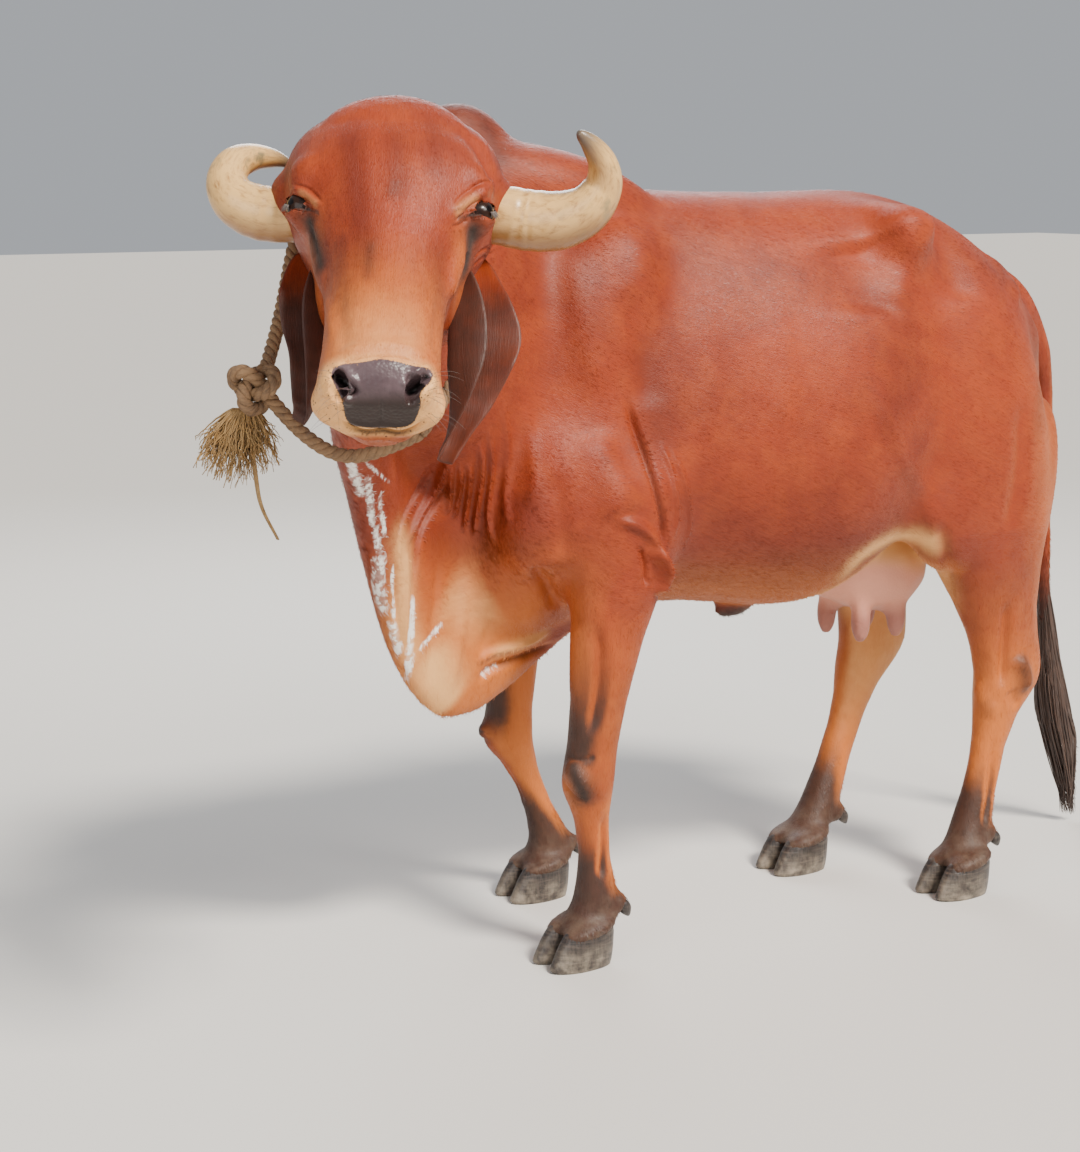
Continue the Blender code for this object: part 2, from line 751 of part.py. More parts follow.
def ear(name, side, route):
    """A drooping leaf with its front edge turned over its outer face like a lapel."""
    rows = through(route, 13)
    steps = np.linspace(-1.0, 1.0, 10)
    front, back = [], []
    for k, row in enumerate(rows):
        place = Vector(row[:3])
        after, before = rows[min(k + 1, 12)], rows[max(k - 1, 0)]
        down = Vector(after[:3] - before[:3]).normalized()
        blade = Vector((side, 0.0, 0.0)) - down * (side * down.x)
        blade.normalize()
        proud = blade.cross(down) * side
        curl = math.radians(row[4])
        fold = math.radians(row[5])
        spots = [np.zeros(2)]
        for a, b in zip(steps, steps[1:]):
            middle = (a + b) / 2
            turned = fold / (1 + math.exp((middle + EAR_TURNED) * EAR_SHARP))
            heading = turned - curl * (middle + 0.2) * 0.5
            spots.append(spots[-1] + (b - a) * row[3] * np.array([math.cos(heading), -math.sin(heading)]))
        spots = np.array(spots) - spots[4]
        fronts, backs = [], []
        for j, spot in enumerate(spots):
            ahead = spots[min(j + 1, 9)] - spots[max(j - 1, 0)]
            normal = np.array([-ahead[1], ahead[0]]) / np.linalg.norm(ahead)
            rim = EAR_HALF_THICK * (0.55 if j in (0, 9) else 1.0)
            for store, sign in ((fronts, 1), (backs, -1)):
                flat = spot + normal * rim * sign
                store.append(HEAD @ (place + blade * flat[0] + proud * flat[1]))
        front.append(fronts)
        back.append(backs)
    rings = [a + b[::-1] for a, b in zip(front, back)]
    return bridge(name, rings)


def eye(name, side):
    place = (EYE_PLACE.x * side, EYE_PLACE.y, EYE_PLACE.z)
    work = bmesh.new()
    bmesh.ops.create_uvsphere(work, u_segments=14, v_segments=8, radius=EYE_RADIUS)
    item = from_bmesh(name, work)
    item.data.transform(Matrix.Translation(on_head(*place)))
    return item


CLAW_LENGTH = 0.060
CLAW_HEIGHT = 0.090
CLAW_WIDTH = 0.0255
CORONET_SLOPE = math.radians(24)
# Height, distance forward, length and width of a claw's sections
CLAW_ROWS = (
    (0.0, 0.012, 1.0, 0.93),
    (0.012, 0.010, 1.02, 1.0),
    (0.045, 0.0, 0.90, 1.0),
    (CLAW_HEIGHT, -0.022, 0.70, 0.90),
)


def claw(name, place, side):
    """One claw of a hoof: a wall that leans forward, flat underneath."""
    rings = []
    right, back = Vector((1, 0, 0)), Vector((0, 1, 0))
    for z, ahead, half_length, half in CLAW_ROWS:
        reach = CLAW_LENGTH * half_length
        wide = CLAW_WIDTH * half
        rings.append(section(Vector((0, -ahead, z)), right, back, wide, reach * 0.92, reach, 2.3, 14))
    item = bridge(name, rings)
    spread = math.radians(3.5) * side
    item.data.transform(Matrix.Rotation(spread, 4, "Z"))
    apart = (CLAW_WIDTH + 0.0018) * side
    item.data.transform(Matrix.Translation((place[0] + apart, place[1], 0)))
    return item


def coronet_frame(name):
    """The slanting plane where a leg's skin meets its hoof."""
    hoof = Vector(LEGS[name][1][3])
    normal = Vector((0, -math.sin(CORONET_SLOPE), -math.cos(CORONET_SLOPE)))
    return plane_frame(hoof, normal)


def tail_rope(name, knots, count):
    rows = through(knots, count)
    return tube(name, [row[:3] for row in rows], [row[3] for row in rows], 12, 1.0, (1, 0, 0))


TAIL = (
    (0.03, 0.570, 1.120, 0.044),
    (0.03, 0.660, 1.085, 0.040),
    (0.030, 0.724, 1.010, 0.032),
    (0.028, 0.756, 0.920, 0.025),
    (0.022, 0.776, 0.800, 0.020),
    (0.014, 0.792, 0.660, 0.017),
    (0.006, 0.808, 0.530, 0.015),
    (0.000, 0.824, 0.430, 0.014),
)
TAIL_PART = 0.80
SWITCH = (
    (0.000, 0.824, 0.430, 0.015),
    (-0.002, 0.836, 0.340, 0.024),
    (-0.004, 0.852, 0.260, 0.020),
    (-0.004, 0.862, 0.220, 0.010),
)
SWITCH_LOCKS = 8


def switch_locks():
    """Flat tapered locks that leave the end of the tail, cross one another and end near the floor."""
    draw = random.Random(3)
    root = Vector(SWITCH[0][:3])
    locks = []
    for k in range(SWITCH_LOCKS):
        angle = math.tau * (k + 0.5 * draw.random()) / SWITCH_LOCKS
        out = Vector((math.cos(angle), 0.55 * math.sin(angle), 0))
        low = 0.012 + 0.12 * draw.random() * (k % 2)
        drift = Vector((0.004, 0.088, 0)) * ((root.z - low) / 0.42)
        twist = out.cross(Vector((0, 0, 1))) * draw.uniform(-0.014, 0.014)
        knots = (
            root + out * 0.004 + Vector((0, 0, 0.004)),
            root + out * 0.016 + Vector((0, 0.010, -0.080)),
            root + out * 0.026 + twist + Vector((0, 0.030, -0.190)),
            Vector((root.x, root.y, low + 0.10)) + drift * 0.8 + out * 0.020 + twist,
            Vector((root.x, root.y, low)) + drift + out * 0.006 - twist,
        )
        rows = through(knots, 8)
        radii = [0.009, 0.015, 0.019, 0.020, 0.019, 0.015, 0.009, 0.0022]
        locks.append(tube("lock", rows, radii, 5, 0.42, out))
    return locks


def udder():
    parts = [
        mass("bag", (0.035, 0.325, 0.610), (0.100, 0.130, 0.100), (-14, 0, 0)),
        mass("bag_front", (0.035, 0.235, 0.600), (0.075, 0.090, 0.060), (-24, 0, 0)),
    ]
    for x, y in ((0.082, 0.275), (-0.012, 0.275), (0.076, 0.365), (-0.006, 0.365)):
        low = 0.458 if y < 0.3 else 0.462
        tops = (
            (x, y, 0.56), (x * 1.04, y - 0.002, 0.515), (x * 1.08, y - 0.006, 0.485), (x * 1.1, y - 0.009, low),
        )
        parts.append(tube("teat", tops, (0.022, 0.0155, 0.0135, 0.0095), 12, 1.0, (1, 0, 0)))
    item = blended(joined("udder", parts), 0.004, 4)
    return item


def navel_flap():
    return mass("navel_flap", (0.0, 0.045, 0.542), (0.020, 0.048, 0.020), (8, 0, 0), 2)


# The rope that she wears: down her right side to its knot, and on round her throat to the nape
ROPE_RADIUS = 0.0125
KNOT = Vector((0.392, -1.075, 1.030))
ROPE_RIGHT = (
    (0.345, -0.830, 1.392),
    (0.296, -0.915, 1.330),
    (0.292, -0.962, 1.220),
    (0.335, -1.005, 1.125),
    (0.392, -1.060, 1.045),
)
ROPE_THROAT = (
    (0.398, -1.060, 1.020),
    (0.412, -1.010, 0.960),
    (0.430, -0.945, 0.925),
    (0.470, -0.860, 0.960),
)
ROPE_LEFT = (
    (0.470, -0.860, 0.960),
    (0.475, -0.795, 1.050),
    (0.450, -0.755, 1.160),
    (0.425, -0.752, 1.270),
    (0.390, -0.785, 1.365),
    (0.345, -0.830, 1.392),
)


def laid_on(points, coat, clear, always=False):
    """Moves points that lie in the coat, or too near it, out to a given height above it."""
    work = bmesh.new()
    work.from_mesh(coat.data)
    tree = BVHTree.FromBMesh(work)
    work.free()
    placed = []
    for point in points:
        spot, normal, _, far = tree.find_nearest(point)
        if always or (point - spot).dot(normal) < 0 or far < clear:
            point = spot + normal * clear
        placed.append(point)
    return placed


def rope(name, knots, coat):
    points = [Vector(row) for row in through(knots, 4 * len(knots) - 3)]
    for _ in range(3):
        points = laid_on(points, coat, ROPE_RADIUS + 0.004)
        eased = [points[0]]
        eased += [(a + b * 2 + c) / 4 for a, b, c in zip(points, points[1:], points[2:])]
        points = eased + [points[-1]]
    points = laid_on(points, coat, ROPE_RADIUS + 0.0035)
    return tube(name, points, [ROPE_RADIUS] * len(points), 8)


def rope_knot():
    """A trefoil of the same rope."""
    size = 0.0118
    count = 36
    work = bmesh.new()
    rows = []
    for k in range(count):
        t = math.tau * k / count

        def spot(a):
            wide = math.sin(a) + 2 * math.sin(2 * a)
            high = math.cos(a) - 2 * math.cos(2 * a)
            return Vector((wide, -math.sin(3 * a) * 1.15, high))

        ahead = (spot(t + 0.01) - spot(t - 0.01)).normalized()
        side = ahead.cross(Vector((0, 1, 0))).normalized()
        ring = section(spot(t) * size, side, side.cross(ahead), 0.0112, 0.0112, 0.0112, 2.0, 7)
        rows.append([work.verts.new(p) for p in ring])
    for k in range(count):
        low, high = rows[k], rows[(k + 1) % count]
        for j in range(7):
            after = (j + 1) % 7
            work.faces.new((low[j], low[after], high[after], high[j]))
    item = from_bmesh("rope_knot", work)
    across = HEAD_TURN
    item.data.transform(Matrix.Translation(KNOT) @ Matrix.Rotation(across, 4, "Z"))
    return item


def rope_tuft():
    """The frayed end: tapered hanks that hang from the knot and spread."""
    draw = random.Random(7)
    pieces = []
    level = Vector((math.cos(HEAD_TURN), math.sin(HEAD_TURN), 0))
    root = KNOT + Vector((0, 0, -0.048)) - level * 0.012
    for k in range(6):
        spread = (k - 3.6) * 0.016
        length = 0.075 + 0.022 * draw.random()
        deep = Vector((level.y, -level.x, 0)) * draw.uniform(-0.012, 0.016)
        end = root + level * spread * 1.2 - Vector((0, 0, length)) + deep
        middle = root + level * spread * 0.75 - Vector((0, 0, length * 0.45)) + deep * 0.8
        rows = through((root + level * spread * 0.25, middle, end), 6)
        radii = [0.010, 0.0135, 0.0135, 0.012, 0.009, 0.003]
        pieces.append(tube("hank", rows, radii, 6, 1.0, (1, 0, 0)))
    strand = (
        root - Vector((0, 0, 0.02)), root + level * 0.010 - Vector((0, 0, 0.08)),
        root + level * 0.018 - Vector((0, 0, 0.125)), root + level * 0.040 - Vector((0, 0, 0.170)),
    )
    radii = [0.005] * 5 + [0.004, 0.0035, 0.003, 0.002]
    pieces.append(tube("strand", through(strand, 9), radii, 5, 1.0, (1, 0, 0)))
    return united("rope_tuft", pieces)


def dewclaw(name, joints, side, which):
    fetlock = Vector(joints[2])
    place = fetlock + Vector((0.021 * side * which, 0.047, -0.020))
    return mass(name, place, (0.0125, 0.014, 0.021), (28, 0, 0), 1)


def build():
    clear_scene()
    skin = material("coat", COAT_RED, 0.45)
    pink = material("bare_skin", SKIN_PINK, 0.55)
    ivory = material("horn", HORN_IVORY, 0.3)
    hoof = material("hoof", HOOF_GREY, 0.6)
    dark = material("eye", EYE_DARK, 0.05)
    black = material("tail_hair", TAIL_BLACK, 0.7)
    tan = material("rope", ROPE_TAN, 0.8)
    PIECE.clear()

    throat = on_head(0, -0.10, -0.10)
    ahead = Vector((math.sin(HEAD_TURN), -math.cos(HEAD_TURN), 0.18)).normalized()
    seam = throat - ahead * 0.035

    def broad_share(point):
        return ramp(point.z, 0.50, 0.74) * ramp((seam - point).dot(ahead), 0.0, 0.12)

    whole = joined("body", body() + [skull()] + head_masses())
    whole = blended(whole, BODY_CELL, 5, 60, broad_share)
    face = blended(joined("face", [neck(), dewlap(), skull()] + head_masses()), HEAD_CELL, 8)
    whole = thinned(whole, BODY_TRIANGLES)
    coat = copied("coat_guide", whole)

    # The head's own part of the skin is kept finer than the body's
    near = plane_frame(seam, ahead)
    boolean(face, block((-0.5, -0.5, -0.004), (0.5, 0.5, 0.8), near), "INTERSECT")
    face = thinned(face, HEAD_TRIANGLES)
    boolean(face, block((-0.5, -0.5, 0), (0.5, 0.5, 0.8), near), "INTERSECT")
    PIECE["head"] = largest(face)
    boolean(whole, block((-0.5, -0.5, -GAP), (0.5, 0.5, 0.8), near), "DIFFERENCE")
    whole = largest(whole)

    for name, (girth, joints, side) in LEGS.items():
        top = LEG_TOP["fore" if "fore" in name else "hind"]
        upper = boxed(whole, name + "_upper", LEG_ZONE[name], top)
        lower = boxed(upper, name + "_lower", LEG_ZONE[name], joints[1][2] - 0.012)
        under = block((-0.2, -0.2, -GAP / 2), (0.2, 0.2, 0.2), coronet_frame(name))
        boolean(lower, under, "DIFFERENCE")
        PIECE[name + "_upper"] = upper
        PIECE[name + "_lower"] = largest(lower)
        place = (joints[3][0], joints[3][1] - 0.004)
        for turn, which in ((1, "outer"), (-1, "inner")):
            piece = claw("%s_%s_claw" % (name, which), place, turn * side)
            above = block((-0.2, -0.2, -0.3), (0.2, 0.2, GAP / 2), coronet_frame(name))
            boolean(piece, above, "DIFFERENCE")
            PIECE[piece.name] = largest(piece)
            spur = dewclaw("%s_%s_dewclaw" % (name, which), joints, side, turn)
            boolean(spur, swollen(PIECE[name + "_lower"], GAP), "DIFFERENCE")
            PIECE[spur.name] = largest(spur)

    PIECE["hump"] = taken(whole, "hump", (0, -0.46, 1.302), (0, -0.30, 1.0), 0.26, 0.4)
    PIECE["neck"] = taken(whole, "neck", NECK_PART, NECK_FACING, 0.75, 0.9)
    PIECE["torso"] = largest(whole)
    PIECE["dewlap"] = taken(PIECE["neck"], "dewlap", (0.06, -0.66, 0.80), (-0.05, 0.05, -1.0), 0.5, 0.6)

    PIECE["left_horn"] = horn("left_horn", LEFT_HORN)
    PIECE["right_horn"] = horn("right_horn", RIGHT_HORN)
    PIECE["left_ear"] = ear("left_ear", 1, LEFT_EAR)
    PIECE["right_ear"] = ear("right_ear", -1, RIGHT_EAR)
    for name in ("left_horn", "right_horn", "left_ear", "right_ear"):
        boolean(PIECE[name], swollen(PIECE["head"], GAP), "DIFFERENCE")
        largest(PIECE[name])
    for side in ("left", "right"):
        boolean(PIECE[side + "_ear"], swollen(PIECE[side + "_horn"], GAP), "DIFFERENCE")
        largest(PIECE[side + "_ear"])
    for side, name in ((1, "left_eye"), (-1, "right_eye")):
        boolean(PIECE["head"], lids(side), "UNION", "MANIFOLD")
    largest(PIECE["head"])
    boolean(PIECE["head"], mouth_groove(PIECE["head"]), "DIFFERENCE", "MANIFOLD")
    for side, name in ((1, "left_eye"), (-1, "right_eye")):
        PIECE[name] = eye(name, side)
        boolean(PIECE["head"], nostril(side, PIECE["head"]), "DIFFERENCE", "MANIFOLD")
        boolean(PIECE["head"], swollen(PIECE[name], GAP), "DIFFERENCE", "MANIFOLD")
    largest(PIECE["head"])

    PIECE["udder"] = thinned(udder(), UDDER_TRIANGLES)
    PIECE["navel_flap"] = navel_flap()
    PIECE["tail"] = tail_rope("tail", TAIL, 18)
    PIECE["tail_lower"] = taken(PIECE["tail"], "tail_lower", (0.02, 0.81, TAIL_PART), (0, 0, -1), 0.1, 0.6)
    PIECE["tail_switch"] = united("tail_switch", [tail_rope("switch_core", SWITCH, 6)] + switch_locks())
    PIECE["tail_switch"].location.z = -GAP * 2
    settled(PIECE["tail_switch"])
    seats = {
        "udder": ("torso", "left_hind_upper", "right_hind_upper"),
        "navel_flap": ("torso",),
        "tail": ("torso",),
        "tail_switch": ("tail_lower",),
    }
    for name, hosts in seats.items():
        for host in hosts:
            boolean(PIECE[name], swollen(PIECE[host], SEAT_GAP), "DIFFERENCE", "MANIFOLD")
        largest(PIECE[name])

    PIECE["rope_knot"] = rope_knot()
    PIECE["rope_tuft"] = rope_tuft()
    boolean(PIECE["rope_tuft"], swollen(PIECE["rope_knot"], GAP), "DIFFERENCE", "MANIFOLD")
    largest(PIECE["rope_tuft"])
    for name, knots in (("rope_right", ROPE_RIGHT), ("rope_throat", ROPE_THROAT), ("rope_left", ROPE_LEFT)):
        PIECE[name] = rope(name, knots, coat)
        boolean(PIECE[name], swollen(PIECE["rope_knot"], GAP), "DIFFERENCE", "MANIFOLD")
        largest(PIECE[name])
    for name in ("rope_right", "rope_throat"):
        boolean(PIECE[name], swollen(PIECE["rope_left"], GAP), "DIFFERENCE", "MANIFOLD")
        largest(PIECE[name])

    bpy.data.objects.remove(coat, do_unlink=True)

    looks = {
        "horn": ivory, "claw": hoof, "eye": dark, "udder": pink, "navel": pink, "switch": black,
        "rope": tan,
    }
    root = bpy.data.objects.new("gir_cow", None)
    bpy.context.collection.objects.link(root)
    corners = []
    for name, item in PIECE.items():
        item.name = name
        item.data.materials.clear()
        item.data.materials.append(next((m for key, m in looks.items() if key in name), skin))
        item.data.shade_smooth()
        item.parent = root
        corners += [np.min([v.co for v in item.data.vertices], axis=0)]
        corners += [np.max([v.co for v in item.data.vertices], axis=0)]
    low, high = np.min(corners, axis=0), np.max(corners, axis=0)
    root.location = (-(low[0] + high[0]) / 2, -(low[1] + high[1]) / 2, -low[2])
    bpy.context.view_layer.update()


build()
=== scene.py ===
# A Gir cow with her head turned to the viewer, standing life-size on a pale studio floor.
import math

import bmesh
import bpy
import numpy as np
from mathutils import Matrix, Vector
from mathutils.bvhtree import BVHTree


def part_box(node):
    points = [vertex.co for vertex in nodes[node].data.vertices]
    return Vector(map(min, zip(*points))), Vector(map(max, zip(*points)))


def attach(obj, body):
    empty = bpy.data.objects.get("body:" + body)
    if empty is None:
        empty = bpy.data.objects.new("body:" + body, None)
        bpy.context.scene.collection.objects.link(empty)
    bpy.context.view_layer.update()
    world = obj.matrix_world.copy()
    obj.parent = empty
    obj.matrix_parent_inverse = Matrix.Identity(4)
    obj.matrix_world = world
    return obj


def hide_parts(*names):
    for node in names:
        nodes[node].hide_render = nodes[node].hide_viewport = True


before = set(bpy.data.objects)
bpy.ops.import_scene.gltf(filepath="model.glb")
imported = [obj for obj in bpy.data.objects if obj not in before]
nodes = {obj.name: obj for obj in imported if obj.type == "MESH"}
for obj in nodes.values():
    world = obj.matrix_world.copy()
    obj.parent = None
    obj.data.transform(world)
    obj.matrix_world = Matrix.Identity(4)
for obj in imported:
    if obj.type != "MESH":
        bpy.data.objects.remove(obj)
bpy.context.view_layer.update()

# places shared by all pieces
# the head's own frame: across to her left, along from the eyes to the nose, out of the face
headLook = {
    "faceCentre": Vector((0.586, -0.966, 1.272)),
    "turn": 57.5,
    "slope": 42.0,
    "roll": 2.7,
    "eyePlace": Vector((0.112, -0.008, -0.014)),
    "eyeRadius": 0.0235,
}


def headMatrix():
    turn, slope, roll = (math.radians(headLook[k]) for k in ("turn", "slope", "roll"))
    ahead = Vector((math.sin(turn), -math.cos(turn), 0))
    up = Vector((0, 0, 1))
    level = Vector((math.cos(turn), math.sin(turn), 0))
    along = ahead * math.cos(slope) - up * math.sin(slope)
    proud = ahead * math.sin(slope) + up * math.cos(slope)
    across = level * math.cos(roll) - proud * math.sin(roll)
    out = proud * math.cos(roll) + level * math.sin(roll)
    return Matrix.Translation(headLook["faceCentre"]) @ Matrix((across, along, out)).transposed().to_4x4()


# her design axes start between the shoulders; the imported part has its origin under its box
eyeLow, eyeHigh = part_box("left_eye")
shift = (eyeLow + eyeHigh) / 2 - headMatrix() @ headLook["eyePlace"]
head = Matrix.Translation(shift) @ headMatrix()
headAxes = np.array(head.to_3x3())
headPlace = np.array(head.translation)
shiftRow = np.array(shift)


def onHead(across, along, out):
    return head @ Vector((across, along, out))


def headCoords(points):
    return (points - headPlace) @ headAxes


def onBody(x, y, z):
    return Vector((x, y, z)) + shift


def smooth(value, low, high):
    t = np.clip((value - low) / (high - low), 0.0, 1.0)
    return t * t * (3 - 2 * t)


def ballShare(points, middle, radii, low, high):  # 1 inside a ball of these radii, fading to 0 outside it
    return 1 - smooth(np.linalg.norm((points - middle) / radii, axis=1), low, high)


def unit(vector):
    vector = np.array(vector, float)
    return vector / np.linalg.norm(vector)


def turnedBy(points, degrees, first, second):  # turned in the plane of two of the axes
    angle = math.radians(degrees)
    turned = points.copy()
    turned[:, first] = points[:, first] * math.cos(angle) - points[:, second] * math.sin(angle)
    turned[:, second] = points[:, first] * math.sin(angle) + points[:, second] * math.cos(angle)
    return turned


def through(knots, count):  # rows read off a smooth curve through all the knots
    knots = np.array(knots, float)
    padded = np.vstack([2 * knots[0] - knots[1], knots, 2 * knots[-1] - knots[-2]])
    steps = np.linspace(0.0, len(knots) - 1.0, count)
    at = np.minimum(steps.astype(int), len(knots) - 2)
    t = (steps - at)[:, None]
    a, b, c, d = padded[at], padded[at + 1], padded[at + 2], padded[at + 3]
    return 0.5 * (2 * b + (c - a) * t + (2 * a - 5 * b + 4 * c - d) * t**2 + (3 * b - a - 3 * c + d) * t**3)


# camera, light and floor
cameraLook = {
    "place": (3.18155, -2.35799, 1.32777),
    "right": (0.52992, 0.84805, 0.0),
    "forward": (-0.83403, 0.52116, -0.18110),
    "lens": 69.75,
    "sensor": 36,
    "picture": (1080, 1152),
}


def makeCamera():
    data = bpy.data.cameras.new("studioCamera")
    data.lens = cameraLook["lens"]
    data.sensor_width = cameraLook["sensor"]
    data.clip_end = 100
    item = bpy.data.objects.new("studioCamera", data)
    bpy.context.collection.objects.link(item)
    right = Vector(cameraLook["right"]).normalized()
    forward = Vector(cameraLook["forward"]).normalized()
    up = right.cross(forward)
    turn = Matrix((right, up, -forward)).transposed().to_4x4()
    item.matrix_world = Matrix.Translation(onBody(*cameraLook["place"])) @ turn
    bpy.context.scene.camera = item
    return item


camera = makeCamera()
cameraRight = np.array(Vector(cameraLook["right"]).normalized())
cameraForward = np.array(Vector(cameraLook["forward"]).normalized())
cameraUp = np.cross(cameraRight, cameraForward)
cameraPlace = np.array(camera.location)
pictureWide, pictureHigh = cameraLook["picture"]
pixels = cameraLook["lens"] / cameraLook["sensor"] * pictureHigh


def seenAt(points):  # where points fall in the 1080 by 1152 picture
    away = points - cameraPlace
    depth = away @ cameraForward
    across = pictureWide / 2 + pixels * (away @ cameraRight) / depth
    down = pictureHigh / 2 - pixels * (away @ cameraUp) / depth
    return np.stack([across, down], axis=1)


def sightLine(x, y):  # the way from the camera through a place in the picture
    level = cameraRight * (x - pictureWide / 2) / pixels
    upward = cameraUp * (pictureHigh / 2 - y) / pixels
    ray = cameraForward + level + upward
    return Vector(ray / np.linalg.norm(ray))


lightLook = {
    "world": (0.90, 0.94, 1.0),
    "worldStrength": 0.48,
    "floor": (0.60, 0.58, 0.55),
    "floorRoughness": 0.9,
    "sun": {"place": (2.8, 0.5, 3.3), "strength": 5.4, "angle": 12, "colour": (1.0, 0.94, 0.85)},
    # place, aim, size, watts and colour
    "areas": {
        "keyLight": ((3.4, 0.6, 3.6), (0, 0, 0.9), 1.5, 150, (1.0, 0.95, 0.88)),
        "frontLight": ((2.2, -4.2, 2.4), (0, -0.3, 0.9), 2.6, 70, (1.0, 0.98, 0.95)),
        "backLight": ((-3.6, 1.6, 3.2), (0, 0, 0.9), 2.4, 130, (0.92, 0.96, 1.0)),
    },
}


def areaLight(name, place, aim, size, power, colour):
    data = bpy.data.lights.new(name, "AREA")
    data.size = size
    data.energy = power
    data.color = colour
    item = bpy.data.objects.new(name, data)
    bpy.context.collection.objects.link(item)
    item.location = place
    item.rotation_euler = (Vector(aim) - Vector(place)).to_track_quat("-Z", "Y").to_euler()


def sunLight(place, strength, angle, colour):
    data = bpy.data.lights.new("sunLight", "SUN")
    data.energy = strength
    data.angle = math.radians(angle)
    data.color = colour
    item = bpy.data.objects.new("sunLight", data)
    bpy.context.collection.objects.link(item)
    item.rotation_euler = (-Vector(place)).to_track_quat("-Z", "Y").to_euler()


def makeStudio():
    world = bpy.data.worlds.new("studioWorld")
    bpy.context.scene.world = world
    world.use_nodes = True
    sky = world.node_tree.nodes["Background"]
    sky.inputs["Color"].default_value = (*lightLook["world"], 1)
    sky.inputs["Strength"].default_value = lightLook["worldStrength"]
    sunLight(**lightLook["sun"])
    for name, values in lightLook["areas"].items():
        areaLight(name, *values)
    bpy.ops.mesh.primitive_plane_add(size=60, location=(0, 0, 0))
    floor = bpy.context.object
    floor.name = "studioFloor"
    made = bpy.data.materials.new("studioFloor")
    made.use_nodes = True
    shader = made.node_tree.nodes["Principled BSDF"]
    shader.inputs["Base Color"].default_value = (*lightLook["floor"], 1)
    shader.inputs["Roughness"].default_value = lightLook["floorRoughness"]
    floor.data.materials.append(made)


makeStudio()
print("studio ready")


# mesh helpers
def newObject(name, mesh):
    item = bpy.data.objects.new(name, mesh)
    bpy.context.collection.objects.link(item)
    return item


def pointsOf(mesh):
    co = np.zeros(len(mesh.vertices) * 3, np.float32)
    mesh.vertices.foreach_get("co", co)
    return co.reshape(-1, 3).astype(float)


def normalsOf(mesh):
    co = np.zeros(len(mesh.vertices) * 3, np.float32)
    mesh.vertices.foreach_get("normal", co)
    return co.reshape(-1, 3).astype(float)


def setPoints(mesh, points):
    mesh.vertices.foreach_set("co", points.astype(np.float32).ravel())
    mesh.update()


def meshFrom(name, points, faces):
    mesh = bpy.data.meshes.new(name)
    mesh.from_pydata([tuple(p) for p in points], [], faces)
    mesh.shade_smooth()
    mesh.update()
    return mesh


def setMask(mesh, name, values):
    layer = mesh.attributes.get(name) or mesh.attributes.new(name, "FLOAT", "POINT")
    layer.data.foreach_set("value", values.astype(np.float32))


def setLie(mesh, values):  # coordinates that run along the hair
    layer = mesh.attributes.new("lie", "FLOAT_VECTOR", "POINT")
    layer.data.foreach_set("vector", np.array(values, np.float32).ravel())


def ballMesh(name, rounds):
    work = bmesh.new()
    bmesh.ops.create_icosphere(work, subdivisions=rounds, radius=1.0)
    mesh = bpy.data.meshes.new(name)
    work.to_mesh(mesh)
    work.free()
    mesh.shade_smooth()
    return mesh


def finishNormals(mesh):  # turns every face outwards
    work = bmesh.new()
    work.from_mesh(mesh)
    bmesh.ops.recalc_face_normals(work, faces=work.faces)
    if work.calc_volume(signed=True) < 0:
        bmesh.ops.reverse_faces(work, faces=work.faces)
    work.to_mesh(mesh)
    work.free()


def settle(item):  # bakes the modifiers into the mesh
    bpy.context.view_layer.update()
    graph = bpy.context.evaluated_depsgraph_get()
    mesh = bpy.data.meshes.new_from_object(item.evaluated_get(graph))
    item.modifiers.clear()
    item.data = mesh


def eased(item, rounds, weights=None):  # smooths a mesh, more where the weights are high
    ease = item.modifiers.new("ease", "SMOOTH")
    ease.factor = 0.5
    ease.iterations = rounds
    if weights is not None:
        group = item.vertex_groups.new(name="ease")
        levels = np.round(weights * 20).astype(int)
        for level in range(1, 21):
            chosen = np.nonzero(levels == level)[0].tolist()
            if chosen:
                group.add(chosen, level / 20, "REPLACE")
        ease.vertex_group = "ease"
    settle(item)
    item.vertex_groups.clear()


def largestShell(mesh):  # deletes every loose scrap
    work = bmesh.new()
    work.from_mesh(mesh)
    work.verts.ensure_lookup_table()
    mark = np.full(len(work.verts), -1)
    count = 0
    for start in work.verts:
        if mark[start.index] >= 0:
            continue
        stack = [start]
        mark[start.index] = count
        while stack:
            vert = stack.pop()
            for edge in vert.link_edges:
                other = edge.other_vert(vert)
                if mark[other.index] < 0:
                    mark[other.index] = count
                    stack.append(other)
        count += 1
    best = np.bincount(mark).argmax()
    bmesh.ops.delete(work, geom=[v for v in work.verts if mark[v.index] != best], context="VERTS")
    work.to_mesh(mesh)
    work.free()


def treeOf(mesh):
    work = bmesh.new()
    work.from_mesh(mesh)
    tree = BVHTree.FromBMesh(work)
    work.free()
    return tree


# the skin
skinLook = {
    "bodyCell": 0.0075,
    "headCell": 0.0028,
    "swell": 0.0006,
    "coatDepth": 0.0012,
    "bodyRounds": 40,
    "legRounds": 9,
    "headRounds": 9,
    "neckRounds": 40,
    "seamRounds": 12,
    "stitchBack": 0.012,
}
legNames = ("left_fore", "right_fore", "left_hind", "right_hind")
# where each hoof stands, its fetlock, and the side it is on, in the design axes
hoofPlaces = {
    "left_fore": ((0.160, -0.392), (0.163, -0.362, 0.108), 1),
    "right_fore": ((-0.182, -0.262), (-0.180, -0.236, 0.104), -1),
    "left_hind": ((0.218, 0.408), (0.200, 0.450, 0.108), 1),
    "right_hind": ((-0.055, 0.246), (-0.062, 0.300, 0.108), -1),
}
teatPlaces = ((0.082, 0.275), (-0.012, 0.275), (0.076, 0.365), (-0.006, 0.365))
